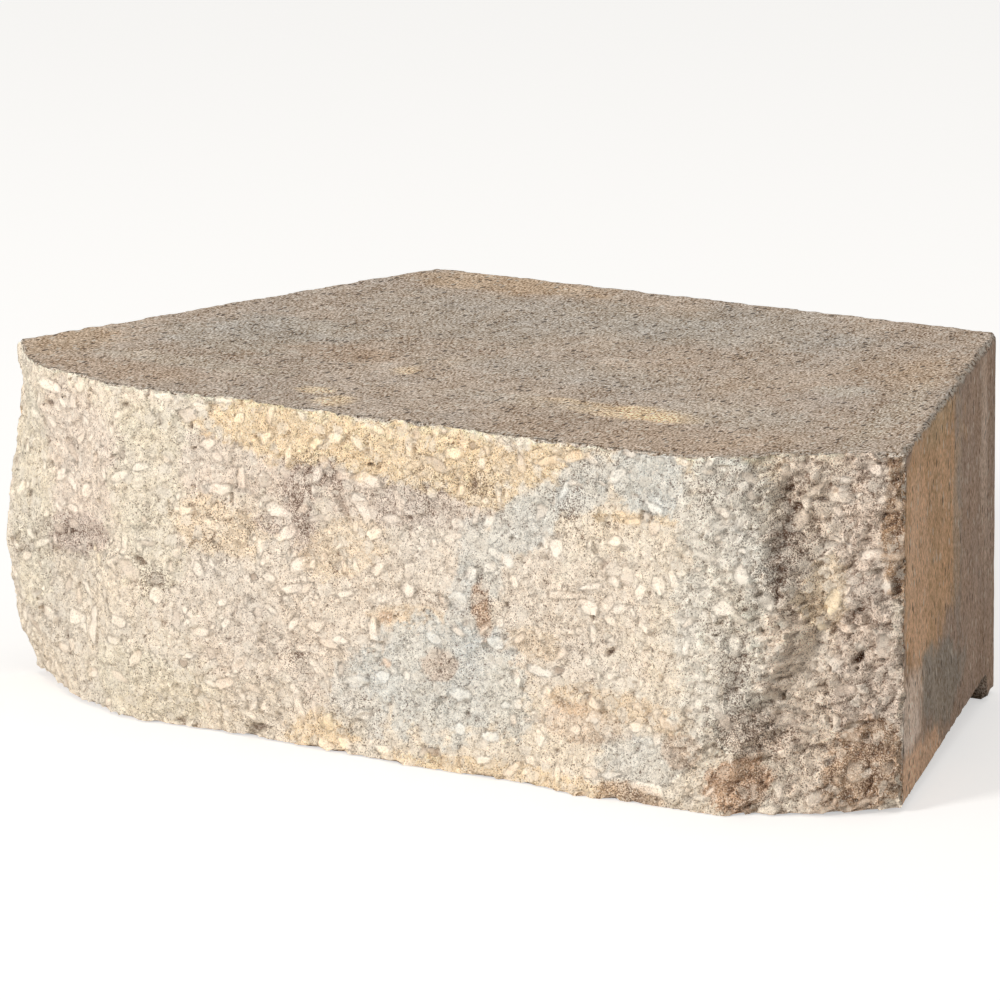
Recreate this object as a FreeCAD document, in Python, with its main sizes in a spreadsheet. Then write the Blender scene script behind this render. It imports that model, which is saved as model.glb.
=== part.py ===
import FreeCAD, Part
import Sketcher
import math
import os

# Retaining wall block: one moulded concrete unit with a lip under its back edge and a
# front broken along three planes. Sizes in millimetres.
# X runs across the front, Y from the front to the back, Z up. The origin is the middle of
# the bottom bearing plane, half way between the middle of the broken front and the back.

doc = FreeCAD.newDocument("retaining_wall_block")

driving_sizes = [
    ("course_height", 101.6, "bottom bearing plane to top face"),
    ("front_width", 298.0, "between the two front corners"),
    ("back_width", 202.0, "across the back face, before the skew"),
    ("side_depth", 152.5, "front corner to back face, square to the back"),
    ("left_skew", 6.5, "left side further out at its front corner, and further in at the back"),
    ("facet_setback", 32.0, "front corner behind the middle of the front"),
    ("facet_width", 55.0, "each angled end of the front, across"),
    ("ridge_softness", 3.0, "rounding of the two ridges where the planes meet"),
    ("lip_drop", 9.5, "lip below the bottom bearing plane"),
    ("lip_thickness", 12.7, "lip at its lower edge, front to back"),
    ("lip_slope", 3.3, "how much thicker the lip is at its root"),
    ("lip_root_radius", 3.0, "fillet between the bearing plane and the lip"),
    ("lip_chamfer", 1.5, "chamfer round the lower edge of the lip"),
    ("rear_corner_radius", 6.0, "upright corners at the back"),
    ("arris_radius", 1.2, "long moulded edges of the top"),
    ("split_allowance", 16.0, "moulded concrete past the middle of the break"),
    ("grid_step", 5.0, "spacing of the points that carry the broken face"),
    ("undulation", 0.7, "height of the long waves in the break"),
    ("shoulder_swell", 4.0, "left front corner stands out at mid height"),
    ("brow_swell", 8.0, "left angled end stands out below the top"),
    ("brow_lost", 4.0, "and falls back again at its upper corner"),
    ("undercut", 4.0, "middle plane falls back along the bottom, left of the middle"),
    ("shelf_swell", 8.0, "shelf beside the right ridge stands out past its plane"),
    ("shelf_reach", 19.0, "from the right ridge to the end of the shelf"),
    ("shelf_wander", 12.0, "how much further the shelf reaches at mid height"),
    ("shelf_step", 8.0, "width of the fall at the end of the shelf"),
    ("foot_swell", 12.0, "right angled end stands out at the bottom"),
    ("spall_depth", 8.0, "lost from the lower left front corner"),
    ("spall_width", 34.0, "lost corner, across"),
    ("spall_height", 19.0, "lost corner, up"),
]

sizes = doc.addObject("Spreadsheet::Sheet", "sizes")
for row, (alias, value, note) in enumerate(driving_sizes, start=1):
    sizes.set(f"A{row}", alias)
    sizes.set(f"B{row}", str(value))
    sizes.setAlias(f"B{row}", alias)
    sizes.set(f"C{row}", note)
doc.recompute()


def size(expression):
    """The value in millimetres of an expression over the sheet's sizes."""
    return float(sizes.evalExpression(expression))


def origin_plane(body, role):
    """The body's own origin plane with this role."""
    return next(plane for plane in body.Origin.OriginFeatures if plane.Role == role)


def polygon_sketch(body, name, role, corners):
    """A closed polygon on one of the body's origin planes. Each corner is a pair of
    expressions over the sheet, kept as dimensions from the sketch's own origin."""
    sketch = body.newObject("Sketcher::SketchObject", name)
    sketch.AttachmentSupport = [(origin_plane(body, role), "")]
    sketch.MapMode = "FlatFace"
    points = [FreeCAD.Vector(size(across), size(up), 0) for across, up in corners]
    for start, end in zip(points, points[1:] + points[:1]):
        sketch.addGeometry(Part.LineSegment(start, end), False)
    for side, (point, expressions) in enumerate(zip(points, corners)):
        following = (side + 1) % len(points)
        sketch.addConstraint(Sketcher.Constraint("Coincident", side, 2, following, 1))
        for kind, value, expression in zip(("DistanceX", "DistanceY"), point, expressions):
            dimension = Sketcher.Constraint(kind, -1, 1, side, 1, value)
            number = sketch.addConstraint(dimension)
            sketch.setExpression(f"Constraints[{number}]", expression)
    return sketch


def edges_where(feature, test):
    """Names of the feature's edges whose middle passes the test."""
    names = []
    for number, edge in enumerate(feature.Shape.Edges, start=1):
        middle = edge.valueAt((edge.FirstParameter + edge.LastParameter) / 2)
        if test(middle, edge):
            names.append(f"Edge{number}")
    return names


def dress(body, kind, name, base, test, size_property, alias):
    """A fillet or chamfer on the edges of base that pass the test, bound to one size."""
    doc.recompute()
    feature = body.newObject(kind, name)
    feature.Base = (base, edges_where(base, test))
    feature.setExpression(size_property, f"sizes.{alias}")
    doc.recompute()
    return feature


# Moulded blank: the tapered plan, deeper at the front than the finished block, because the
# unit is moulded face to face with its twin and then broken off it. The left side runs in more
# steeply than the right one.
back_line = "(sizes.side_depth + sizes.facet_setback) / 2"
blank_front = f"(-{back_line} - sizes.split_allowance)"
taper = "(sizes.front_width - sizes.back_width) / 2 / sizes.side_depth"
past_corner = "(sizes.facet_setback + sizes.split_allowance)"
half_blank = f"(sizes.front_width / 2 + {taper} * {past_corner})"
half_back = "(sizes.back_width / 2)"
front_skew = f"(sizes.left_skew * (1 + 2 * {past_corner} / sizes.side_depth))"

blank = doc.addObject("PartDesign::Body", "moulded_blank")
plan = polygon_sketch(blank, "plan", "XY_Plane", [
    (f"sizes.left_skew - {half_back}", back_line),
    (f"-{front_skew} - {half_blank}", blank_front),
    (half_blank, blank_front),
    (half_back, back_line),
])
plan.setExpression(".AttachmentOffset.Base.z", "-sizes.lip_drop")
block = blank.newObject("PartDesign::Pad", "block")
block.Profile = plan
block.setExpression("Length", "sizes.course_height + sizes.lip_drop")
doc.recompute()
volume_before_step = block.Shape.Volume

# Bottom bearing plane: everything in front of the lip is cut up to it, across the full
# width. The lip's front face slopes, so that the unit leaves its mould.
lip_front = f"({back_line} - sizes.lip_thickness)"
lip_root = f"({lip_front} - sizes.lip_slope)"
below_lip = "(-2 * sizes.lip_drop)"
step = polygon_sketch(blank, "step", "YZ_Plane", [
    (f"2 * {blank_front}", "0"),
    (lip_root, "0"),
    (lip_front, "-sizes.lip_drop"),
    (lip_front, below_lip),
    (f"2 * {blank_front}", below_lip),
])
bearing_cut = blank.newObject("PartDesign::Pocket", "bearing_cut")
bearing_cut.Profile = step
bearing_cut.Midplane = True
bearing_cut.setExpression("Length", "2 * sizes.front_width")
doc.recompute()

rear_corners = dress(
    blank, "PartDesign::Fillet", "rear_corners", bearing_cut,
    lambda middle, edge: abs(edge.tangentAt(edge.FirstParameter).z) > 0.99 and middle.y > 0,
    "Radius", "rear_corner_radius",
)
lip_root_fillet = dress(
    blank, "PartDesign::Fillet", "lip_root_fillet", rear_corners,
    lambda middle, edge: abs(middle.y - size(lip_root)) < 0.01 and abs(middle.z) < 0.01
    and abs(edge.tangentAt(edge.FirstParameter).x) > 0.99,
    "Radius", "lip_root_radius",
)
lip_edges = dress(
    blank, "PartDesign::Chamfer", "lip_edges", lip_root_fillet,
    lambda middle, edge: abs(middle.z + size("sizes.lip_drop")) < 0.01,
    "Size", "lip_chamfer",
)
top_arrises = dress(
    blank, "PartDesign::Fillet", "top_arrises", lip_edges,
    lambda middle, edge: abs(middle.z - size("sizes.course_height")) < 0.01
    and middle.y > size(blank_front) + 0.01,
    "Radius", "arris_radius",
)
blank.Tip = top_arrises

# Broken face. Places are from the middle of the front and from the bottom bearing plane.
height = size("sizes.course_height")
corner = size("sizes.front_width") / 2
ridge = corner - size("sizes.facet_width")
facet_slope = size("sizes.facet_setback / sizes.facet_width")

# Long waves of the break: wavelength, direction in degrees from level, phase, share of the height.
waves = [
    (71.0, 20, 0.4, 1.0),
    (47.0, 105, 2.1, 0.8),
    (33.0, 62, 4.0, 0.5),
    (26.0, 155, 1.2, 0.4),
]

# Swells: across, up, half width, half height, how far the middle stands out.
swells = [
    (-corner, 0.43 * height, 26, 27, size("sizes.shoulder_swell")),
    (-ridge - 34, height, 17, 30, size("sizes.brow_swell")),
    (-corner - 6, height, 10, 50, -size("sizes.brow_lost")),
    (-ridge + 34, 0, 38, 9, -size("sizes.undercut")),
    (ridge + 31, 0, 24, 14, size("sizes.foot_swell")),
    (ridge + 34, 0.90 * height, 17, 22, -0.4 * size("sizes.foot_swell")),
    (ridge - 28, 0, 15, 10, 0.45 * size("sizes.foot_swell")),
]


def ease(share):
    """Zero below 0, one above 1 and a smooth rise between them."""
    share = min(max(share, 0), 1)
    return share * share * (3 - 2 * share)


def hump(distance, half_width):
    """A bell: one in the middle, about a third at the half width, then nothing."""
    return math.exp(-(distance / half_width) ** 2)


def planes(x):
    """Setback of the three planes: none in the middle, sloping back outside each ridge,
    with the ridge rounded as a hyperbola."""
    outside = abs(x) - ridge
    return facet_slope * (outside + math.hypot(outside, size("sizes.ridge_softness"))) / 2


def shelf(x, z):
    """The right angled end keeps on almost level with the middle for a while and then
    falls back in a crooked step, which reaches furthest at mid height."""
    rise = ease((x - ridge + size("sizes.shelf_reach")) / (2 * size("sizes.shelf_reach")))
    end = ridge + size("sizes.shelf_reach") + size("sizes.shelf_wander") * hump(z - 0.56 * height, 26)
    fall = ease((end - x) / size("sizes.shelf_step") + 0.5)
    return size("sizes.shelf_swell") * rise * fall * (0.45 + 0.55 * hump(z - 0.45 * height, 34))


def spall(x, z):
    """The lost lower left corner: deepest at the corner, gone along a slanting line."""
    along = (x + corner) / size("sizes.spall_width") + z / size("sizes.spall_height")
    return size("sizes.spall_depth") * ease(1 - along)


def undulation(x, z):
    """Four crossing sine waves."""
    total = 0
    for length, degrees, phase, share in waves:
        along = x * math.cos(math.radians(degrees)) + z * math.sin(math.radians(degrees))
        total += share * math.sin(2 * math.pi * along / length + phase)
    return size("sizes.undulation") * total


def break_setback(x, z):
    """How far the broken face lies behind the foremost plane."""
    stands_out = shelf(x, z) + undulation(x, z)
    for across, up, half_width, half_height, out in swells:
        stands_out += out * hump(x - across, half_width) * hump(z - up, half_height)
    return planes(x) + spall(x, z) - stands_out


def grid(low, high):
    """Evenly spaced places from low to high, about one grid step apart."""
    count = math.ceil((high - low) / size("sizes.grid_step"))
    return [low + (high - low) * index / count for index in range(count + 1)]


# The waste in front of the break: a smooth surface through a grid of points, wider and
# taller than the blank, carried forwards past the blank's front.
margin = 2 * size("sizes.grid_step")
reach_across = size(f"{half_blank} + {front_skew}") + margin
front_plane = -size(back_line)
across_places = grid(-reach_across, reach_across)
up_places = grid(-size("sizes.lip_drop") - margin, height + margin)
break_points = [
    [FreeCAD.Vector(x, front_plane + break_setback(x, z), z) for z in up_places]
    for x in across_places
]
break_surface = Part.BSplineSurface()
break_surface.interpolate(break_points)
waste = doc.addObject("Part::Feature", "split_waste")
waste.Shape = break_surface.toShape().extrude(FreeCAD.Vector(0, 2 * size(blank_front), 0))

wall_block = doc.addObject("Part::Cut", "wall_block")
wall_block.Label = "wall_block"
wall_block.Base = blank
wall_block.Tool = waste
wall_block.Placement = FreeCAD.Placement()
doc.recompute()

# Checks before anything is written.
for thing in doc.Objects:
    if {"Invalid", "Error"} & set(thing.State):
        raise RuntimeError(f"{thing.Name} did not build: {thing.State}")
for thing in (block, bearing_cut, blank, waste, wall_block):
    if thing.Shape.isNull() or not thing.Shape.isValid():
        raise RuntimeError(f"{thing.Name} has no sound shape")
if bearing_cut.Shape.Volume >= volume_before_step:
    raise RuntimeError("the bearing cut removed nothing")
if len(wall_block.Shape.Solids) != 1:
    raise RuntimeError("the break left more than one piece")

os.makedirs("parts", exist_ok=True)
wall_block.Shape.exportStep("parts/wall_block.step")
box = wall_block.Shape.optimalBoundingBox()
print(f"wall_block {box.XLength:.1f} x {box.YLength:.1f} x {box.ZLength:.1f} mm")
print(f"volume {wall_block.Shape.Volume / 1e6:.3f} litres")
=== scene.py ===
import math

import bpy
import numpy as np
from mathutils import Matrix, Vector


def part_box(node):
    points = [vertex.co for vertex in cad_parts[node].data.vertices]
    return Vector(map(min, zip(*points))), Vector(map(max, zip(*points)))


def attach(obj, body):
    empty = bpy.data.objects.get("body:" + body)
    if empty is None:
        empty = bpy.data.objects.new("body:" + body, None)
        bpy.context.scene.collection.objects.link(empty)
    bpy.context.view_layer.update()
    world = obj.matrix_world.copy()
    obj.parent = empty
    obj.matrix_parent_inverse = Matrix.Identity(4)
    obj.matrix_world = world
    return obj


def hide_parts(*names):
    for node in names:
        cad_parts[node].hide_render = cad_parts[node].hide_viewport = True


# Retaining wall block of blended concrete: broken front, moulded top, sides and back, lip below.
# Shapes are worked out in millimetres and stored in metres.

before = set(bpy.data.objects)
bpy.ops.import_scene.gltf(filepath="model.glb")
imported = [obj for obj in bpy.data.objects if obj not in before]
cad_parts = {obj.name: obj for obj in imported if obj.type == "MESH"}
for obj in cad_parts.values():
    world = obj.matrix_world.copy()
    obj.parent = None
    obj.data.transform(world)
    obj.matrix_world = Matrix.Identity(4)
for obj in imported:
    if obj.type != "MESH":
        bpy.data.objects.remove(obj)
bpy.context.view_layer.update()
nodeLow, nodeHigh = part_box("wall_block")
mm = 0.001
randomPick = np.random.default_rng(4107)


def printStage(words):
    print("stage:", words)


# Fields of noise and small tools for arrays. The whole number handed to a noise is its seed.

def linearColour(code):
    # sRGB hex text to linear red, green, blue
    parts = np.array([int(code[place:place + 2], 16) for place in (0, 2, 4)]) / 255
    return np.where(parts <= 0.04045, parts / 12.92, ((parts + 0.055) / 1.055) ** 2.4)


def ease(share):
    # Zero below 0, one above 1, a smooth rise between
    share = np.clip(share, 0, 1)
    return share * share * (3 - 2 * share)


def hump(distance, halfWidth):
    # A bell: one in the middle, about a third at the half width
    return np.exp(-(distance / halfWidth) ** 2)


def hashed(corner, seed):
    # Scrambles whole lattice coordinates into numbers from -1 to 1
    key = corner[..., 0] * 73856093 ^ corner[..., 1] * 19349663 ^ corner[..., 2] * 83492791
    key = (key ^ seed * 2654435761) & 0xFFFFFFFF
    key = ((key ^ (key >> 15)) * 2246822519) & 0xFFFFFFFF
    key = ((key ^ (key >> 13)) * 3266489917) & 0xFFFFFFFF
    return ((key ^ (key >> 16)) & 0xFFFF) / 32767.5 - 1


def gradientNoise(points, cell, seed):
    # Random slopes at the corners of a cubic lattice, faded into each other: about -1 to 1
    scaled = points / cell
    base = np.floor(scaled).astype(np.int64)
    part = scaled - base
    fade = part ** 3 * (part * (part * 6 - 15) + 10)
    total = np.zeros(points.shape[:-1])
    for dx in (0, 1):
        for dy in (0, 1):
            for dz in (0, 1):
                step = np.array([dx, dy, dz])
                weight = np.prod(np.where(step == 1, fade, 1 - fade), axis=-1)
                away = part - step
                slopes = [hashed(base + step, seed * 3 + axis) for axis in range(3)]
                total += weight * sum(slopes[axis] * away[..., axis] for axis in range(3))
    return 1.6 * total


def layeredNoise(points, cell, seed, layers=3, fall=0.55):
    # Noise plus finer and weaker copies of itself
    total = 0
    reach = 0
    for layer in range(layers):
        total = total + fall ** layer * gradientNoise(points, cell / 2 ** layer, seed + layer)
        reach += fall ** layer
    return total / reach


def blurred(field, radius):
    # Box blur along both axes of a grid, with the border repeated
    for axis in (0, 1):
        pads = [(radius + 1, radius) if axis == side else (0, 0) for side in (0, 1)]
        sums = np.cumsum(np.pad(field, pads, mode="edge"), axis=axis)
        width = 2 * radius + 1
        count = field.shape[axis]
        high = np.take(sums, np.arange(width, width + count), axis=axis)
        low = np.take(sums, np.arange(count), axis=axis)
        field = (high - low) / width
    return field


def gradedShares(length, fine, coarse, reach, bothEnds=True):
    # Shares from 0 to 1 whose spacing grows from fine at the ends to coarse inside
    probes = 4000
    place = np.linspace(0, length, probes)
    nearest = np.minimum(place, length - place) if bothEnds else place
    density = 1 / (coarse + (fine - coarse) * np.exp(-nearest / reach))
    steps = (density[1:] + density[:-1]) / 2 * np.diff(place)
    count = np.concatenate([[0], np.cumsum(steps)])
    return np.interp(np.linspace(0, count[-1], math.ceil(count[-1]) + 1), count, place) / length


# The block's own sizes, in millimetres: the ones the frame doesn't give

block = {
    "height": nodeHigh.z / mm,
    "backLine": nodeHigh.y / mm,
    "lipDrop": -nodeLow.z / mm,
    "frontWidth": 298.0,
    "backWidth": 202.0,
    "leftSkew": 6.5,         # the left side is this much fuller at the front and leaner at the back
    "sideDepth": 152.5,
    "facetSetback": 32.0,
    "facetWidth": 55.0,
    "ridgeSoftness": 3.0,
    "lipThickness": 12.7,
    "lipSlope": 3.3,
    "lipRootRadius": 3.0,
    "rearCornerRadius": 6.0,
    "arrisRadius": 0.9,
    "lipArrisRadius": 1.8,
}
height = block["height"]
backLine = block["backLine"]
frontCorner = block["frontWidth"] / 2
backCorner = block["backWidth"] / 2
ridge = frontCorner - block["facetWidth"]
cornerLine = backLine - block["sideDepth"]
frontLine = cornerLine - block["facetSetback"]
taper = (frontCorner - backCorner) / block["sideDepth"]
lipFront = backLine - block["lipThickness"]
lipRoot = lipFront - block["lipSlope"]


def leftSkew(x, y):
    # Sideways move of the left half, from nothing in the middle to all of it at the side
    halfWidth = frontCorner - taper * (y - cornerLine)
    share = np.clip(-x / halfWidth, 0, None)
    return -block["leftSkew"] * (1 - 2 * (y - cornerLine) / block["sideDepth"]) * share


# Broken face: main forms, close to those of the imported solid

breakForms = {
    "undulation": 0.7,
    "waves": [
        # length, direction in degrees, phase, share
        (71.0, 20, 0.4, 1.0), (47.0, 105, 2.1, 0.8), (33.0, 62, 4.0, 0.5), (26.0, 155, 1.2, 0.4),
    ],
    "shoulderSwell": 4.0,
    "browSwell": 8.0,
    "browLost": 4.0,
    "undercut": 4.0,
    "shelfSwell": 8.0,
    "shelfReach": 19.0,
    "shelfWander": 12.0,
    "shelfStep": 8.0,
    "footSwell": 12.0,
    "spallDepth": 7.2,
    "spallWidth": 34.0,
    "spallHeight": 18.0,
}


def mainSetback(x, z):
    # Three planes with rounded ridges, less the swells and waves, plus the lost corner
    form = breakForms
    outside = np.abs(x) - ridge
    slope = block["facetSetback"] / block["facetWidth"]
    planes = slope * (outside + np.hypot(outside, block["ridgeSoftness"])) / 2
    shoulder = form["shoulderSwell"]
    foot = form["footSwell"]
    swells = [
        # across, up, half width, half height, how far it stands out
        (-frontCorner, 0.43 * height, 26, 27, shoulder),
        (-ridge - 34, height, 17, 30, form["browSwell"]),
        (-frontCorner - 6, height, 10, 50, -form["browLost"]),
        (-ridge + 34, 0, 38, 9, -form["undercut"]),
        (ridge + 31, 0, 24, 14, foot),
        (ridge + 34, 0.90 * height, 17, 22, -0.40 * foot),
        (ridge - 28, 0, 15, 10, 0.45 * foot),
    ]
    standsOut = 0
    for across, up, halfWidth, halfHeight, out in swells:
        standsOut = standsOut + out * hump(x - across, halfWidth) * hump(z - up, halfHeight)
    rise = ease((x - ridge + form["shelfReach"]) / (2 * form["shelfReach"]))
    end = ridge + form["shelfReach"] + form["shelfWander"] * hump(z - 0.56 * height, 26)
    fall = ease((end - x) / form["shelfStep"] + 0.5)
    shelf = form["shelfSwell"] * rise * fall * (0.45 + 0.55 * hump(z - 0.45 * height, 34))
    waves = 0
    for length, degrees, phase, share in form["waves"]:
        along = x * math.cos(math.radians(degrees)) + z * math.sin(math.radians(degrees))
        waves = waves + share * np.sin(2 * math.pi * along / length + phase)
    lost = (x + frontCorner) / form["spallWidth"] + z / form["spallHeight"]
    spall = form["spallDepth"] * ease(1 - lost)
    return planes + spall - standsOut - shelf - form["undulation"] * waves


# Broken face: fine relief

rubble = {
    "pitch": 0.74,           # spacing of the points on the broken face
    "sunk": 1.6,             # the fine relief lies this far inside the solid
    "lumps": (17.0, 1.1),    # size and height of the lumps
    "chunks": (7.5, 0.55),   # broken chunks, each a tilted plane
    "chips": (3.1, 0.32),
    "crumbs": (3.6, 0.62),
    "grit": (1.5, 0.50),
    "ruggedEnd": 1.2,        # the right angled end is rougher by this share
    "ruggedFrom": (-24, 60),    # it starts this far from the ridge and grows over this length
    "endLumps": (11.0, 1.1),    # lumps that only the rough end has
    "steepStray": 0.6,       # roughness also moves steep parts sideways, by this share
    "jitter": 0.18,          # points lie off their even spacing by up to this
    "wander": (6.0, 1.8),    # over which length and how far creases and ridges stray
    "chunkStray": (5.0, 1.2),
    "warpCell": 2.4,         # stone outlines wander over this length
    "warp": 0.22,
    "stones": 760,
    "mostlySmall": 2.0,      # how strongly small stones outnumber large ones
    "stoneRadius": (0.7, 3.0),
    "stoneStretch": (1.1, 3.0),
    "stoneTilt": 0.26,
    "stoneLift": 0.2,        # a tilted stone also lies prouder or deeper
    "stoneCorners": (4, 7),  # from, up to but without
    "cornerStray": 0.32,
    "edgeReach": (0.62, 0.96),    # distance of the straight edges, as a share of the oval's size
    "ovalReach": 1.1,
    "stoneEdge": 0.5,        # the flat of a stone fades into the paste over this width
    "rimGroove": (0.25, 0.4, 0.45),    # depth, distance from the outline, half width
    "tooSteep": (1.1, 4.0),  # slope from which no stone is laid, and how soon that sets in
    "pits": 240,
    "pitRadius": (0.35, 1.0),
    "pitDepth": (0.5, 1.5),
    "pitEdge": (1.8, 0.35),    # over which length and how far the outlines of pits stray
    "hollowShade": (0.6, 1.2),    # depth below the surroundings, and depth of a pit, that gets the darkest painted shade
}
stoneKinds = {
    # colour, how much it hides the paste, darkness of the painted shadow in the gap at its rim, how proud it
    # lies
    "white": ("fbf0e1", 0.38, 0.30, 0.05),
    "pale": ("f7ebdb", 0.30, 0.30, 0.00),
    "milky": ("f4e7d6", 0.26, 0.25, -0.05),
    "blue": ("eceae2", 0.46, 0.25, 0.00),
    "peach": ("f4d9b8", 0.60, 0.20, 0.00),
    "yellow": ("f6e2bd", 0.50, 0.30, 0.05),
    "sandy": ("e4d0bb", 0.50, 0.30, 0.05),
    "taupe": ("cdbcab", 0.60, 0.35, -0.10),
    "umber": ("9c8776", 0.70, 0.50, -0.20),
}
commonKinds = ["milky"] * 10 + ["sandy"] * 6 + ["pale"] * 5 + ["white"] + ["taupe"] * 2
chosenStones = [
    # across, up, half length, half width, turn in degrees, kind: the ones that the eye picks out
    (-108.3, 25.5, 5.8, 3.2, 84, "white"), (-133, 45, 6.5, 1.4, 22, "pale"),
    (-114, 47.3, 2.8, 0.9, 15, "pale"), (-103.5, 46.5, 2.3, 1.8, 0, "yellow"),
    (-106.3, 49.0, 1.5, 1.2, 0, "yellow"), (-96.5, 46.5, 3.6, 1.8, 25, "pale"),
    (-136.5, 84, 4.8, 2.2, 0, "pale"), (-143, 72, 4.2, 1.8, 0, "pale"),
    (-122.5, 96, 5.5, 2.2, 0, "pale"), (-117, 59, 3.4, 1.8, 0, "milky"),
    (-118, 25, 4.2, 2.5, 10, "milky"), (-132, 23, 6.5, 2.2, 0, "pale"),
    (-96.5, 23.3, 4.2, 1.6, 0, "pale"), (-94, 30, 3.6, 2.1, 10, "milky"),
    (-89.5, 46.5, 4.4, 2.4, -48, "taupe"), (-82.5, 55, 3.0, 1.3, 0, "taupe"),
    (-76, 100.2, 3.8, 1.4, 0, "white"), (-57, 100.3, 4.4, 1.0, 0, "white"),
    (-64, 98, 3.2, 1.4, 0, "pale"), (-24.5, 91.8, 2.8, 1.7, 35, "yellow"),
    (-18, 94, 4.4, 2.1, 0, "pale"), (-9.5, 74.5, 5.6, 2.4, -55, "white"),
    (0.5, 72.4, 2.9, 1.2, 5, "white"), (-8, 82.5, 5.5, 2.6, 0, "milky"),
    (-42, 79, 2.5, 2.2, 60, "white"), (-38.8, 70, 4.4, 2.4, -15, "white"),
    (-36.3, 63.2, 6.6, 2.0, 35, "pale"), (-57.5, 74.3, 6.0, 2.0, 8, "pale"),
    (-57.3, 40.3, 1.9, 1.3, 0, "white"), (-56.3, 34.4, 2.1, 1.6, 60, "white"),
    (-33.5, 47.3, 3.8, 1.5, 20, "white"), (-36, 44.2, 2.0, 0.8, 0, "pale"),
    (-15.5, 48.2, 4.0, 1.0, 12, "pale"), (-17, 34.6, 3.5, 1.5, 0, "white"),
    (-65.5, 49, 2.4, 2.1, 80, "pale"), (-61, 24.5, 2.3, 1.7, -50, "taupe"),
    (-70, 21, 1.5, 1.4, 0, "umber"), (-46.8, 49, 1.5, 1.2, 0, "umber"),
    (-45.5, 39, 2.0, 1.7, 0, "taupe"), (-23, 9, 3.2, 2.3, 80, "yellow"),
    (-12.5, 22.3, 4.4, 1.9, 15, "blue"), (-4, 25, 2.4, 2.0, 0, "blue"),
    (8.5, 98.4, 2.1, 1.5, -30, "taupe"), (27, 96.9, 1.6, 1.3, 0, "umber"),
    (30, 92, 2.0, 1.9, 0, "white"), (30.8, 81, 1.5, 1.4, 0, "white"),
    (56.5, 87, 4.2, 1.2, 55, "blue"), (60.5, 97.5, 3.2, 2.1, 0, "peach"),
    (52, 95.3, 4.4, 1.3, 20, "peach"), (79.5, 81, 3.6, 1.3, 5, "peach"),
    (83.3, 82.6, 1.5, 1.2, 0, "taupe"), (20.2, 73, 2.4, 1.9, 0, "white"),
    (38.5, 65, 2.9, 2.1, -30, "blue"), (34, 66, 3.0, 2.1, -30, "pale"),
    (55, 70.5, 3.4, 2.3, -50, "white"), (73.5, 74.5, 2.9, 2.0, 0, "pale"),
    (66, 60.8, 4.6, 0.9, 12, "white"), (57, 57, 5.5, 1.7, 0, "milky"),
    (75.5, 55, 3.4, 1.4, 20, "pale"), (54.2, 34, 1.7, 1.4, 0, "umber"),
    (67.5, 22.8, 3.1, 2.0, 20, "white"), (47.5, 33.3, 5.5, 1.5, -10, "blue"),
    (22, 22.8, 4.6, 2.4, 0, "blue"), (36.5, 21.5, 2.0, 1.5, 0, "blue"),
    (22.5, 13.2, 2.3, 2.2, 0, "blue"), (32.5, 12.3, 3.4, 1.8, 0, "blue"),
    (30, 5.2, 3.0, 1.4, 0, "white"), (14, 39, 3.0, 1.8, -35, "blue"),
    (22.8, 51.5, 3.6, 3.2, 90, "blue"), (34, 39.5, 2.8, 2.4, 0, "blue"),
    (74, 7.2, 4.2, 1.1, 10, "white"), (13.8, 5.3, 2.4, 1.6, 0, "umber"),
    (86, 5, 6.2, 2.4, -8, "white"), (95, 100, 2.3, 1.4, -20, "pale"),
    (101.5, 73.5, 4.6, 1.2, -30, "pale"), (111.5, 68.5, 4.4, 2.1, -65, "pale"),
    (107, 59, 3.2, 2.6, 0, "pale"), (117.3, 60.5, 3.4, 1.4, -70, "pale"),
    (97, 47, 2.8, 1.1, 72, "white"), (121.8, 53.8, 2.1, 1.6, 0, "pale"),
    (132.3, 41.6, 2.6, 2.0, 50, "white"), (134.5, 33.8, 3.0, 1.5, 0, "taupe"),
    (140, 72.5, 3.8, 1.7, 10, "pale"), (143.5, 65, 4.6, 1.8, -70, "pale"),
    (144, 46, 3.8, 2.0, 85, "pale"), (127, 51.5, 2.8, 1.4, 15, "yellow"),
    (131, 59, 4.4, 2.8, 80, "yellow"), (133, 93.6, 2.3, 1.2, 0, "white"),
    (140, 97, 2.9, 1.7, -30, "white"), (131, 89, 3.2, 2.9, 0, "pale"),
    (122, 82, 3.0, 2.0, 60, "taupe"), (113, 12.2, 3.2, 1.4, -65, "white"),
    (115, 7.3, 1.4, 1.2, 0, "white"), (102, 4.3, 2.8, 0.9, 0, "white"),
    (130.5, 4, 2.2, 1.9, 60, "white"), (125.5, 22.5, 2.8, 1.4, -12, "pale"),
]
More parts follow.
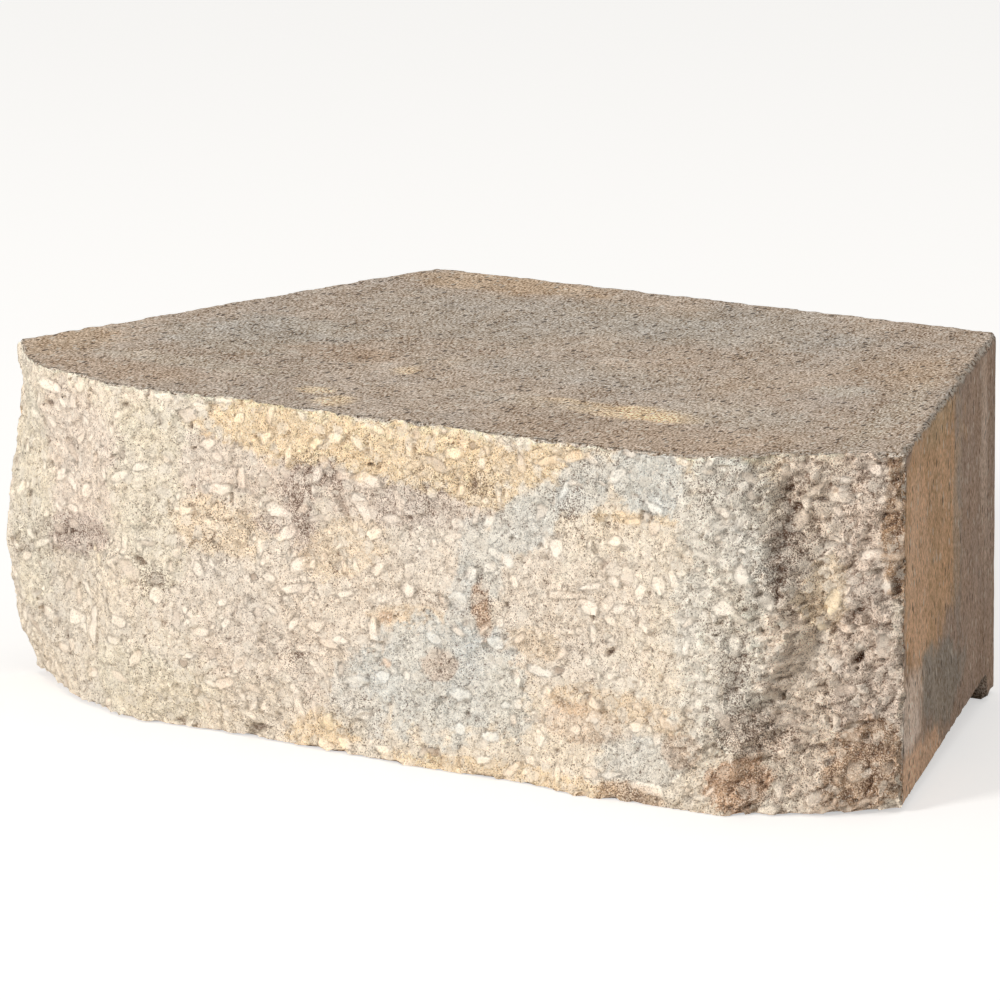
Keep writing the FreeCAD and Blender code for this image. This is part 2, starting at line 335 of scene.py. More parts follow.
chosenPits = [
    # across, up, half length, half width, turn in degrees, depth
    (-123.3, 90.3, 1.9, 1.5, 20, 1.6), (-90.7, 81, 2.9, 1.2, 80, 1.6), (-128.5, 69.8, 1.8, 1.4, 0, 1.0),
    (-86, 49.2, 2.6, 1.0, -30, 2.2), (-80, 44.5, 3.2, 2.4, -20, 1.0), (-139, 27.8, 2.4, 1.0, 10, 1.2),
    (-123.5, 18.3, 2.0, 1.2, 80, 1.0), (-77.3, 31.5, 1.5, 1.4, 0, 1.0), (-109, 82.4, 1.7, 0.5, 35, 0.8),
    (-129.2, 76, 2.8, 0.6, 42, 0.8), (-118.3, 73.6, 1.4, 0.5, 5, 0.9), (-107.3, 68.8, 1.4, 1.3, 0, 0.7),
    (-53.5, 72, 2.2, 0.6, 80, 1.2), (-33, 11, 1.4, 0.8, 35, 1.4), (-32, 28.5, 2.2, 1.8, 0, 1.0),
    (-48.5, 2.8, 2.6, 1.4, 15, 2.4), (-75, 1.5, 2.0, 0.9, 0, 1.6), (-6.9, 87.5, 0.8, 0.7, 0, 1.8),
    (-45, 91.5, 0.8, 0.7, 0, 1.6), (-19, 56.5, 3.2, 1.3, 80, 0.8), (26.7, 85.3, 2.4, 1.2, 80, 1.2),
    (21.8, 83.2, 1.4, 0.7, 80, 1.4), (83.3, 82.6, 2.5, 2.0, 0, 1.6), (79.8, 88.2, 1.2, 0.6, 10, 1.0),
    (71.3, 41.8, 2.0, 1.0, 40, 1.6), (67.5, 53.3, 2.4, 1.0, 0, 1.2), (55.5, 25, 2.2, 1.2, -50, 1.0),
    (-12.3, 70.4, 1.2, 0.9, 0, 1.2), (137.3, 42.5, 3.8, 1.0, 72, 1.8), (120.5, 86, 2.4, 1.4, 30, 1.4),
]
chosenCracks = [
    # from (across, up) to (across, up), half width, depth
    (-150, 38.5, -131, 45.5, 1.5, 1.5), (-131, 45.5, -118, 52.5, 1.8, 1.8),
    (-118, 52.5, -101, 54.5, 1.8, 1.2), (119, 93, 120, 60, 1.8, 1.6),
    (112, 50, 109, 30, 1.4, 1.2), (59, 28, 70, 36, 0.7, 0.8),
    (-17, 78, -14, 70, 1.6, 1.0), (-32, 84, -29, 62, 2.6, 0.8), (146, 100, 147, 60, 1.6, 1.2),
    (140, 60, 134, 52, 1.4, 1.2), (100, 34, 97, 10, 1.2, 0.5), (124, 98, 121, 88, 1.2, 1.0),
]
poreShadeCrowds = [
    # across, up, half width, half height, share: where pores with painted shade crowd
    (-31, 74, 6, 13, 0.8), (-21, 84, 6, 5, 1.0), (-32, 28, 5, 4, 0.8), (-43, 65, 5, 4, 0.6),
    (-117, 51, 18, 6, 0.7), (-80, 44, 6, 5, 0.7), (-19, 57, 3, 5, 0.6), (28, 87, 8, 7, 0.5),
    (10, 88, 4, 6, 0.5), (30, 52, 5, 9, 0.6), (60, 84, 9, 8, 0.6), (66, 98, 6, 5, 0.8),
    (120, 76, 7, 18, 0.7), (110, 40, 4, 18, 0.8), (113, 22, 8, 6, 1.0), (139, 88, 9, 12, 0.6),
    (104, 92, 10, 9, 0.5), (80, 3, 10, 5, 0.7), (116, 8, 8, 8, 0.5), (140, 12, 10, 12, 0.5),
    (-140, 44, 12, 6, 0.5), (-145, 94, 6, 8, 0.4), (15, 32, 6, 5, 0.4), (48, 48, 16, 14, 0.2),
    (135, 30, 14, 20, 0.2), (-12, 12, 22, 8, 0.3),
    (12, 78, 22, 6, 0.5), (-60, 62, 14, 8, 0.4),
]


def scatterStones(count, low, high):
    # Throws ovals of mixed size on the face and keeps those that miss the ones before, starting
    # with the chosen ones. Each gets its place, half sizes, turn and kind.
    small, large = rubble["stoneRadius"]
    stones = list(chosenStones)
    place = np.array([stone[:2] for stone in stones])
    radius = np.array([math.sqrt(stone[2] * stone[3]) for stone in stones])
    for tryAt in low + (high - low) * randomPick.random((count * 4, 2)):
        if len(stones) == count:
            break
        size = small + (large - small) * randomPick.random() ** rubble["mostlySmall"]
        if np.all(np.hypot(*(place - tryAt).T) > 0.9 * (radius + size)):
            stretch = math.sqrt(randomPick.uniform(*rubble["stoneStretch"]))
            kind = commonKinds[randomPick.integers(len(commonKinds))]
            turn = randomPick.uniform(-60, 120)
            stones.append((*tryAt, size * stretch, size / stretch, turn, kind))
            place = np.vstack([place, tryAt])
            radius = np.append(radius, size)
    return stones


def windowAround(x, z, across, up, span):
    # The part of the grid that lies within span of a place
    rows = np.nonzero(np.abs(z[:, 0] - up) < span)[0]
    columns = np.nonzero(np.abs(x[len(x) // 2] - across) < span + 4)[0]
    if len(rows) == 0 or len(columns) == 0:
        return None
    return slice(rows[0], rows[-1] + 1), slice(columns[0], columns[-1] + 1)


def turnedAway(x, z, across, up, turn):
    # Distances from a place along a turned direction and beside it
    angle = math.radians(turn)
    along = (x - across) * math.cos(angle) + (z - up) * math.sin(angle)
    beside = (z - up) * math.cos(angle) - (x - across) * math.sin(angle)
    return along, beside


def chunks(x, z, cell, seed):
    # Jittered lattice points, each with its own tilted plane: the height, about -1 to 1, of the
    # plane whose point is nearest
    column = np.floor(x / cell).astype(np.int64)
    row = np.floor(z / cell).astype(np.int64)
    nearest = np.full(x.shape, np.inf)
    level = np.zeros(x.shape)
    for stepX in (-1, 0, 1):
        for stepZ in (-1, 0, 1):
            corner = np.stack([column + stepX, row + stepZ, np.zeros_like(row)], axis=-1)
            moveX, moveZ, lift, leanX, leanZ = [hashed(corner, seed + draw) for draw in range(5)]
            awayX = x / cell - corner[..., 0] - 0.5 - 0.45 * moveX
            awayZ = z / cell - corner[..., 1] - 0.5 - 0.45 * moveZ
            reach = np.hypot(awayX, awayZ)
            owns = reach < nearest
            nearest = np.where(owns, reach, nearest)
            level = np.where(owns, 0.6 * lift + 1.1 * (leanX * awayX + leanZ * awayZ), level)
    return level


def stoneFaces(x, z, spots, smoothOut, roughOut):
    # Lays flat broken stones into the rough paste. Each is a polygon cut off by an oval: the
    # largest of its edges' distances is that from its outline, below zero inside. Where the
    # face runs steeply back there are none, as they would be drawn out.
    inset = np.full(x.shape, 1.5)
    rim = np.zeros(x.shape)
    colour = np.ones((*x.shape, 4))
    wanderX = x + rubble["warp"] * layeredNoise(spots, rubble["warpCell"], 71, 2)
    wanderZ = z + rubble["warp"] * layeredNoise(spots, rubble["warpCell"], 73, 2)
    out = roughOut.copy()
    slope = np.abs(np.gradient(mainSetback(x, z), axis=1) / np.gradient(x, axis=1))
    steepest, setsIn = rubble["tooSteep"]
    steep = setsIn * np.clip(slope - steepest, 0, 1)
    stray = rubble["cornerStray"]
    low = np.array([x.min(), z.min()])
    high = np.array([x.max(), z.max()])
    for across, up, long, short, turn, kind in scatterStones(rubble["stones"], low, high):
        corners = randomPick.integers(*rubble["stoneCorners"])
        bearings = (np.arange(corners) + randomPick.uniform(-stray, stray, corners)) * 2 * math.pi / corners
        reaches = randomPick.uniform(*rubble["edgeReach"], corners)
        tilt = randomPick.normal(0, rubble["stoneTilt"], 2)
        strength = randomPick.uniform(0.7, 1.0)
        window = windowAround(x, z, across, up, long + 1.5)
        if window is None:
            continue
        along, beside = turnedAway(wanderX[window], wanderZ[window], across, up, turn)
        edges = [
            along / long * math.cos(bearing) + beside / short * math.sin(bearing) - reach
            for bearing, reach in zip(bearings, reaches)
        ]
        edges.append(np.hypot(along / long, beside / short) - rubble["ovalReach"])
        distance = np.max(edges, axis=0) * short + steep[window]
        code, hides, rimShade, proud = stoneKinds[kind]
        nearest = distance < inset[window]
        inset[window] = np.where(nearest, distance, inset[window])
        rim[window] = np.where(nearest, rimShade * strength, rim[window])
        look = np.append(linearColour(code), hides * strength)
        colour[window] = np.where(nearest[..., None], look, colour[window])
        inside = ease(0.5 - distance / rubble["stoneEdge"])
        lift = proud + rubble["stoneLift"] * tilt[0]
        flat = smoothOut[window] + lift + tilt[0] * (x[window] - across) + tilt[1] * (z[window] - up)
        out[window] += inside * (flat - out[window])
    grooveDepth, grooveAway, grooveWidth = rubble["rimGroove"]
    out = out - grooveDepth * rim * hump(inset - grooveAway, grooveWidth)
    return {"stoneInset": inset, "stoneRim": rim, "stoneTint": colour}, out


def pitDepths(x, z, spots):
    # Voids where a stone or a bubble was, and cracks: first the chosen ones, then small ones
    depth = np.zeros(x.shape)
    strayLength, stray = rubble["pitEdge"]
    ragged = stray * layeredNoise(spots, strayLength, 79, 2)
    pits = list(chosenPits)
    for _ in range(rubble["pits"]):
        radius = rubble["pitRadius"][0] + np.ptp(rubble["pitRadius"]) * randomPick.random() ** 3
        stretch = randomPick.uniform(0.7, 1.5)
        place = (randomPick.uniform(x.min(), x.max()), randomPick.uniform(z.min(), z.max()))
        deep = randomPick.uniform(*rubble["pitDepth"])
        pits.append((*place, radius * stretch, radius / stretch, randomPick.uniform(0, 180), deep))
    for across, up, long, short, turn, deep in pits:
        window = windowAround(x, z, across, up, 1.6 * long)
        if window is None:
            continue
        along, beside = turnedAway(x[window], z[window], across, up, turn)
        reach = np.hypot(along / long, beside / short) + ragged[window]
        depth[window] = np.maximum(depth[window], deep * ease(1.3 - reach))
    for fromAcross, fromUp, toAcross, toUp, halfWidth, deep in chosenCracks:
        run = np.array([toAcross - fromAcross, toUp - fromUp])
        share = np.clip(((x - fromAcross) * run[0] + (z - fromUp) * run[1]) / (run @ run), 0, 1)
        away = np.hypot(x - fromAcross - share * run[0], z - fromUp - share * run[1])
        depth = np.maximum(depth, deep * hump(away, halfWidth) * (0.7 + ragged))
    return depth


def brokenFace():
    # Grid of the broken face: across by up, pushed back by the main forms and the fine relief
    across = np.linspace(0, 1, round(block["frontWidth"] / rubble["pitch"]) + 1)
    up = np.linspace(0, 1, round(height / rubble["pitch"]) + 1)
    z = np.repeat(up[:, None] * height, len(across), axis=1)
    ends = []
    for side in (-1, 1):
        x = np.full(len(up), side * frontCorner)
        for _ in range(6):
            y = frontLine + mainSetback(x + leftSkew(x, cornerLine), z[:, 0])
            x = side * (frontCorner - taper * (y - cornerLine))
        ends.append(x)
    x = ends[0][:, None] + (ends[1] - ends[0])[:, None] * across
    trueX = x + leftSkew(x, cornerLine)
    spots = np.stack([trueX, np.zeros_like(x), z], axis=-1)
    lumpSize, lumpHeight = rubble["lumps"]
    endSize, endHeight = rubble["endLumps"]
    chunkSize, chunkHeight = rubble["chunks"]
    chipSize, chipHeight = rubble["chips"]
    crumbSize, crumbHeight = rubble["crumbs"]
    gritSize, gritHeight = rubble["grit"]
    roughFrom, roughOver = rubble["ruggedFrom"]
    rugged = 1 + rubble["ruggedEnd"] * ease((trueX - ridge - roughFrom) / roughOver)
    warpLength, warpReach = rubble["chunkStray"]
    warpedX = trueX + warpReach * layeredNoise(spots, warpLength, 43, 3, 0.6)
    warpedZ = z + warpReach * layeredNoise(spots, warpLength, 53, 3, 0.6)
    smoothOut = lumpHeight * layeredNoise(spots, lumpSize, 11, 2)
    smoothOut = smoothOut + rugged * chunkHeight * chunks(warpedX, warpedZ, chunkSize, 301)
    smoothOut = smoothOut + endHeight * (rugged - 1) * layeredNoise(spots, endSize, 57, 2)
    crumbs = layeredNoise(spots, crumbSize, 23, 3, 0.6)
    grit = layeredNoise(spots, gritSize, 37, 2, 0.6)
    chips = chipHeight * chunks(warpedX, warpedZ, chipSize, 311)
    crumbled = crumbHeight * (crumbs - 0.4 * np.abs(crumbs)) + gritHeight * grit
    roughOut = smoothOut + rugged * (crumbled + chips)
    marks, out = stoneFaces(trueX, z, spots, smoothOut, roughOut)
    pits = pitDepths(trueX, z, spots) * np.clip(0.2 + marks["stoneInset"] / 0.5, 0.15, 1)
    out = out - pits
    # Painted shade for the colour: where the relief lies below its blurred self, and in pits
    hollowDepth, pitDeep = rubble["hollowShade"]
    deep = np.clip((blurred(out, 2) - out) / hollowDepth, 0, 1)
    marks["hollowShade"] = deep + 0.7 * np.clip(pits / pitDeep, 0, 1)
    strayLength, stray = rubble["wander"]
    strayX = trueX + stray * layeredNoise(spots, strayLength, 41, 2)
    strayX -= rubble["steepStray"] * (roughOut - smoothOut)
    setback = mainSetback(strayX, z) + rubble["sunk"] - np.minimum(out, rubble["sunk"])
    y = frontLine + setback
    nudge = rubble["jitter"] * (2 * randomPick.random((2, *x.shape)) - 1)
    x[1:-1, 1:-1] += nudge[0, 1:-1, 1:-1]
    z[1:-1, 1:-1] += nudge[1, 1:-1, 1:-1]
    x[:, 0] = -frontCorner + taper * (y[:, 0] - cornerLine)
    x[:, -1] = frontCorner - taper * (y[:, -1] - cornerLine)
    return across, up, np.stack([x, y, z], axis=-1), spots, marks


# Moulded faces: the same columns and rows run round the block, so their edges meet

moulded = {
    "fine": 0.7,         # spacing along the arrises
    "coarseAcross": 3.0,
    "coarseBack": 1.7,
    "coarseUp": 2.8,
    "reach": 5.0,        # how soon the spacing grows
    "sole": [0.2, 0.4, 0.6, 0.74, 0.85, 0.93, 1.0],    # points under the lip, as shares of its depth
}


def lipProfile():
    # Side view of the lip from its root to the back: fillet, sloping front, rounded tip, sole
    lean = math.atan2(block["lipSlope"], block["lipDrop"])
    turn = math.pi / 2 - lean
    root = block["lipRootRadius"]
    tangent = root * math.tan(turn / 2)
    angles = np.linspace(0, turn, 5)
    filletY = lipRoot - tangent + root * np.sin(angles)
    filletZ = -root + root * np.cos(angles)
    tip = block["lipArrisRadius"]
    tipTangent = tip * math.tan(turn / 2)
    angles = np.linspace(turn, 0, 4)
    tipY = lipFront + tipTangent - tip * np.sin(angles)
    tipZ = -block["lipDrop"] + tip - tip * np.cos(angles)
    middle = np.linspace(0, 1, 5)[1:-1]
    slopeY = filletY[-1] + (tipY[0] - filletY[-1]) * middle
    slopeZ = filletZ[-1] + (tipZ[0] - filletZ[-1]) * middle
    soleY = tipY[-1] + (backLine - tipY[-1]) * np.array(moulded["sole"])
    profileY = np.concatenate([filletY, slopeY, tipY, soleY])
    profileZ = np.concatenate([filletZ, slopeZ, tipZ, np.full(len(soleY), -block["lipDrop"])])
    return profileY, profileZ


lipY, lipZ = lipProfile()


def mouldedPatches(acrossFine, upFine, face):
    # Five grids behind the broken face. Rows run straight back from its outline to the lip's
    # root, and from there keep the profile of the lip.
    columns = gradedShares(block["frontWidth"], moulded["fine"], moulded["coarseAcross"], moulded["reach"])
    levels = gradedShares(height, moulded["fine"], moulded["coarseUp"], moulded["reach"])
    depth = lipY[0] - frontLine
    rows = gradedShares(depth, moulded["fine"], moulded["coarseBack"], moulded["reach"], bothEnds=False)

    def along(line, shares, wanted):
        return np.stack([np.interp(wanted, shares, line[:, axis]) for axis in range(3)], axis=-1)

    def runBack(front, drop, backX, rise):
        # From each point of the front outline to the back; rise lifts the rows off the profile
        y = front[:, 1][None, :] * (1 - rows[:-1, None]) + lipY[0] * rows[:-1, None]
        y = np.concatenate([y, np.repeat(lipY[:, None], len(front), axis=1)])
        low = np.concatenate([np.zeros(len(rows) - 1), lipZ]) * drop
        share = (y - front[:, 1]) / (backLine - front[:, 1])
        x = front[:, 0] + (backX - front[:, 0]) * share
        z = low[:, None] + (height - low[:, None]) * rise
        return np.stack([x, y, z], axis=-1)

    backX = (2 * columns - 1) * backCorner
    top = runBack(along(face[-1], acrossFine, columns), 1, backX, np.ones(len(columns)))
    bottom = runBack(along(face[0], acrossFine, columns), 1, backX, np.zeros(len(columns)))
    left = runBack(along(face[:, 0], upFine, levels), 1, -backCorner, levels)
    right = runBack(along(face[:, -1], upFine, levels), 1, backCorner, levels)
    backZ = -block["lipDrop"] + (height + block["lipDrop"]) * levels
    back = np.stack(np.broadcast_arrays(backX[None, :], backLine, backZ[:, None]), axis=-1)
    return columns, levels, {"top": top, "bottom": bottom, "left": left, "right": right, "back": back}


printStage("broken face")
acrossFine, upFine, facePoints, faceSpots, faceMarks = brokenFace()
printStage("moulded faces")
columns, levels, patches = mouldedPatches(acrossFine, upFine, facePoints)


# One closed mesh: the grids share their border points, and the broken face is sewn in

def sewnTriangles(first, firstPlace, second, secondPlace):
    # Triangles between two lines of points along one border, taken in order along it
    place = np.concatenate([firstPlace[1:], secondPlace[1:]])
    isFirst = np.concatenate([np.ones(len(first) - 1, bool), np.zeros(len(second) - 1, bool)])
    order = np.argsort(place, kind="stable")
    isFirst = isFirst[order]
    passedFirst = np.cumsum(isFirst)
    passedSecond = np.cumsum(~isFirst)
    onFirst = first[passedFirst]
    onSecond = second[passedSecond]
    before = np.where(isFirst, first[np.maximum(passedFirst - 1, 0)], second[np.maximum(passedSecond - 1, 0)])
    return np.stack([onFirst, before, onSecond], axis=1)


def gridFaces(numbers, flipped):
    # Four-sided faces of a grid of point numbers
    faces = np.stack([numbers[:-1, :-1], numbers[:-1, 1:], numbers[1:, 1:], numbers[1:, :-1]], axis=-1)
    faces = faces.reshape(-1, 4)
    return faces[:, ::-1] if flipped else faces


def assembleBlock():
    # Numbers the points of all grids, merges the ones at the same place and collects faces
    grids = {"face": facePoints, **patches}
    flipped = {"face": False, "top": False, "bottom": True, "left": False, "right": True, "back": True}
    start = 0
    numbers = {}
    for name, grid in grids.items():
        count = grid.shape[0] * grid.shape[1]
        numbers[name] = np.arange(start, start + count).reshape(grid.shape[:2])
        start += count
    points = np.concatenate([grid.reshape(-1, 3) for grid in grids.values()])
    _, firstOfKind, kind = np.unique(np.round(points, 4), axis=0, return_index=True, return_inverse=True)
    kind = kind.reshape(-1)
    merged = {name: kind[table] for name, table in numbers.items()}
    quads = {name: gridFaces(merged[name], flipped[name]) for name in grids}
    face, top, bottom = merged["face"], merged["top"], merged["bottom"]
    left, right = merged["left"], merged["right"]
    seams = [
        sewnTriangles(face[-1], acrossFine, top[0], columns)[:, ::-1],
        sewnTriangles(face[0], acrossFine, bottom[0], columns),
        sewnTriangles(face[:, 0], upFine, left[0], levels)[:, ::-1],
        sewnTriangles(face[:, -1], upFine, right[0], levels),
    ]
    seam = np.concatenate(seams)
    real = (seam[:, 0] != seam[:, 1]) & (seam[:, 1] != seam[:, 2]) & (seam[:, 2] != seam[:, 0])
    return points[firstOfKind], firstOfKind, quads, seam[real]


points, sourceRow, quads, seam = assembleBlock()
printStage(f"{len(points)} points")


# Rear corners, arrises and bites, as moves of points by where they are, so seams stay shut

wear = {
    "arrisRadius": (0.3, 1.2),    # least and most, changing along each arris
    "arrisChange": 9.0,           # length over which it changes
    "skinCell": 11.0,
    "skinDepth": 0.22,            # unevenness of the moulded skin
    "skinFade": 0.6,
    "ruggedCell": 2.6,
    "ruggedDepth": 0.8,           # roughness round a bite
    "ruggedShare": 0.4,           # and the share of it that the bite's own surface has
    "rawDepth": 0.35,             # a bite this deep shows nothing but fresh grains
    "crumbleCell": 3.4,
    "crumbleDown": 2.2,           # how soon the loss fades out below the edge
    "crumbleFront": (1.7, 1.3),   # most that the upper edge of the broken face has lost, fade
    "crumbleSides": (1.0, 1.1),   # and that of the sides and the back
    "lostCorner": (1.0, -7.85, 1.3),    # middle of the break at the lip's right end, off its corner
    "lostWay": (0.667, 0.189, -0.718),
    "lostRadius": 60.0,
}
sideNormal = np.array([1, taper]) / math.hypot(1, taper)
sideOffset = sideNormal @ np.array([frontCorner, cornerLine])
cornerCentreY = backLine - block["rearCornerRadius"]
cornerCentreX = (sideOffset - block["rearCornerRadius"] - sideNormal[1] * cornerCentreY) / sideNormal[0]


def rearCornerSector(points):
    # Offset of each point, mirrored to the right half, from its rear corner's centre line, and
    # whether it lies between the directions of the side and of the back
    fromCentre = np.stack([np.abs(points[:, 0]) - cornerCentreX, points[:, 1] - cornerCentreY], axis=1)
    alongSide = fromCentre[:, 0] / sideNormal[0]
    alongBack = fromCentre[:, 1] - alongSide * sideNormal[1]
    return fromCentre, (alongSide > 0) & (alongBack > 0)


def roundRearCorners(points):
    # Draws the sector beyond each centre line in, so that the flat faces land on one circle
    fromCentre, inSector = rearCornerSector(points)
    reach = np.maximum(np.hypot(fromCentre[:, 0], fromCentre[:, 1]), 1e-6)
    share = np.maximum(fromCentre @ sideNormal, fromCentre[:, 1]) / reach
    share = np.where(inSector, share, 1)
    moved = points.copy()
    moved[:, 0] = np.sign(points[:, 0]) * (np.abs(points[:, 0]) + fromCentre[:, 0] * (share - 1))
    moved[:, 1] = points[:, 1] + fromCentre[:, 1] * (share - 1)
    return moved


def outlineInset(points):
    # Distance in plan from the moulded outline, sides and back, and the way inwards
    fromCentre, inSector = rearCornerSector(points)
    reach = np.maximum(np.hypot(fromCentre[:, 0], fromCentre[:, 1]), 1e-6)
    toSide = sideOffset - np.abs(points[:, 0]) * sideNormal[0] - points[:, 1] * sideNormal[1]
    toBack = backLine - points[:, 1]
    inset = np.where(inSector, block["rearCornerRadius"] - reach, np.minimum(toSide, toBack))
    backNearest = toBack < toSide
    inward = np.where(backNearest[:, None], [0.0, -1.0], -sideNormal)
    inward = np.where(inSector[:, None], -fromCentre / reach[:, None], inward)
    inward = inward * np.stack([np.where(points[:, 0] < 0, -1, 1), np.ones(len(points))], axis=1)
    return inset, inward


def undersideLevel(y):
    # Height of the underside: the bearing plane, then the lip
    return np.interp(y, lipY, lipZ)


def roundArrises(points):
    # Where a wall and a flat face meet, the edge becomes a quarter circle of changing radius
    low, high = wear["arrisRadius"]
    change = layeredNoise(points * [1, 1, 0.3], wear["arrisChange"], 61, 3, 0.7)
    radius = low + (high - low) * np.clip(0.5 + 0.8 * change, 0, 1)
    moved = points.copy()
    inset, inward = outlineInset(points)
    for up in (True, False):
        rise = height - points[:, 2] if up else points[:, 2] - undersideLevel(points[:, 1])
        corner = np.clip(np.stack([radius - inset, radius - rise], axis=1), 0, None)
        near = (corner[:, 0] > 0) & (corner[:, 1] > 0)
        reach = np.maximum(np.hypot(corner[:, 0], corner[:, 1]), 1e-6)
        pulled = corner * (np.max(corner, axis=1) / reach)[:, None]
        shift = np.where(near[:, None], corner - pulled, 0)
        moved[:, :2] += inward * shift[:, :1]
        moved[:, 2] += shift[:, 1] * (-1 if up else 1)
    return moved


def biteList():
    # Spheres that bite into the edges: centre, radius
    right = np.array([sideNormal[0], sideNormal[1], 0])
    left = right * [-1, 1, 1]
    up = np.array([0.0, 0, 1])
    back = np.array([0.0, 1, 0])
    frontRight = np.array([frontCorner, cornerLine, 0])
    backRight = np.array([backCorner, backLine, 0])
    mirror = np.array([-1, 1, 1])
    lift = height * up
    drop = -block["lipDrop"] * up
    rootRight = frontRight + (backRight - frontRight) * (lipRoot - cornerLine) / block["sideDepth"]
    lines = [
        # start, end, outwards, bites, radius, depth
        (frontRight + lift, backRight + lift, right + up, 130, (1.3, 6), (0.4, 1.9)),
        (frontRight * mirror + lift, backRight * mirror + lift, left + up, 60, (2, 8), (0.3, 1.6)),
        (backRight * mirror + lift, backRight + lift, back + up, 80, (2, 8), (0.3, 1.6)),
        (frontRight, rootRight, right - up, 26, (3, 8), (0.3, 0.9)),
        (frontRight * mirror, rootRight * mirror, left - up, 26, (3, 8), (0.3, 1.5)),
        (backRight * mirror + drop, backRight + drop, back - up, 30, (3, 7), (0.3, 1.2)),
        (
            np.array([-backCorner, lipFront, 0]) + drop, np.array([backCorner, lipFront, 0]) + drop,
            -back - up, 30, (3, 7), (0.3, 1.6),
        ),
        (backRight + drop, backRight + lift, right + back, 8, (4, 9), (0.2, 0.7)),
        (backRight * mirror + drop, backRight * mirror + lift, left + back, 8, (4, 9), (0.2, 0.7)),
    ]
    lostCorner = backRight + drop + wear["lostCorner"]
    lostCentre = lostCorner + wear["lostRadius"] * np.array(wear["lostWay"])
    bites = [(lostCentre, wear["lostRadius"])]    # so large that the break of the lip is nearly flat

    def addBite(spot, outwards, radii, depths):
        radius = radii[0] + (radii[1] - radii[0]) * randomPick.random() ** 2
        depth = depths[0] + (depths[1] - depths[0]) * randomPick.random() ** 2
        bites.append((spot + outwards * (radius - depth), radius))

    for start, end, outwards, count, radii, depths in lines:
        outwards = outwards / np.linalg.norm(outwards)
        for place in randomPick.random(count):
            addBite(start + (end - start) * place, outwards, radii, depths)
    borders = [
        # border of the broken face, outwards, bites, radius, depth
        (facePoints[-1], up - back, 120, (1.4, 5.0), (0.3, 1.6)),
        (facePoints[0], -up - back, 60, (1.6, 5.0), (0.3, 1.3)),
        (facePoints[:, -1], right - back, 44, (1.6, 6.0), (0.4, 2.0)),
        (facePoints[:, 0], left - back, 9, (1.6, 4.0), (0.2, 0.6)),
    ]
    for border, outwards, count, radii, depths in borders:
        outwards = outwards / np.linalg.norm(outwards)
        for place in randomPick.integers(0, len(border), count):
            addBite(border[place], outwards, radii, depths)
    return bites


def biteEdges(points):
    # Each sphere pushes the points inside it out to its own surface, which lies in the block
    moved = points.copy()
    rawness = np.zeros(len(points))
    rugged = wear["ruggedDepth"] * layeredNoise(points, wear["ruggedCell"], 83, 2, 0.6)
    nearShare = 1.25    # points farther off than this share of the radius are left out
    for centre, radius in biteList():
        near = np.nonzero(np.all(np.abs(moved - centre) < nearShare * radius, axis=1))[0]
        away = moved[near] - centre
        reach = np.maximum(np.linalg.norm(away, axis=1), 1e-6)
        wanted = radius + rugged[near] * wear["ruggedShare"]
        inside = reach < wanted
        push = np.where(inside, wanted - reach, 0)
        moved[near] += away * (push / reach)[:, None]
        rawness[near] = np.maximum(rawness[near], np.clip(push / wear["rawDepth"], 0, 1))
    return moved, rawness


def crumbleUpperEdges(points):
    # Lowers the upper edges here and there, fading out inwards and down
    frontY = np.interp(points[:, 0], facePoints[-1, :, 0], facePoints[-1, :, 1])
    inset = outlineInset(points)[0]
    change = layeredNoise(points * [1, 1, 0], wear["crumbleCell"], 89, 3, 0.8)
    lost = np.clip(0.15 + 1.1 * change, 0, 1) * np.exp(-(height - points[:, 2]) / wear["crumbleDown"])
    mostFront, fadeFront = wear["crumbleFront"]
    mostSides, fadeSides = wear["crumbleSides"]
    atFront = mostFront * np.exp(-np.abs(points[:, 1] - frontY) / fadeFront)
    atSides = mostSides * np.exp(-np.clip(inset, 0, None) / fadeSides)
    lowered = lost * np.maximum(atFront, atSides)
    moved = points.copy()
    moved[:, 2] -= lowered
    return moved, np.clip(1.5 * lowered, 0, 1)


def unevenSkin(points, onFace):
    # The moulded faces are a little hollow here and there; always inwards
    fade = wear["skinFade"]
    sink = wear["skinDepth"] * np.clip(0.5 + layeredNoise(points, wear["skinCell"], 97, 3), 0, 1)
    inset, inward = outlineInset(points)
    moved = points.copy()
    wall = np.exp(-np.clip(inset, 0, None) / fade)
    moved[:, :2] += inward * (sink * wall)[:, None]
    top = np.exp(-np.clip(height - points[:, 2], 0, None) / fade) * ~onFace
    moved[:, 2] -= sink * top
    bottom = np.exp(-np.clip(points[:, 2] - undersideLevel(points[:, 1]), 0, None) / fade) * ~onFace
    moved[:, 2] += sink * bottom
    return moved


printStage("rounding and bites")
facePointCount = facePoints.shape[0] * facePoints.shape[1]
onFace = sourceRow < facePointCount
points = roundRearCorners(points)
points = roundArrises(points)
points, crumbled = crumbleUpperEdges(points)
points, rawness = biteEdges(points)
rawness = np.maximum(rawness, crumbled)
points = unevenSkin(points, onFace)
points[:, 0] += leftSkew(points[:, 0], points[:, 1])
points = np.clip(points, np.array(nodeLow) / mm, np.array(nodeHigh) / mm)    # never past the solid
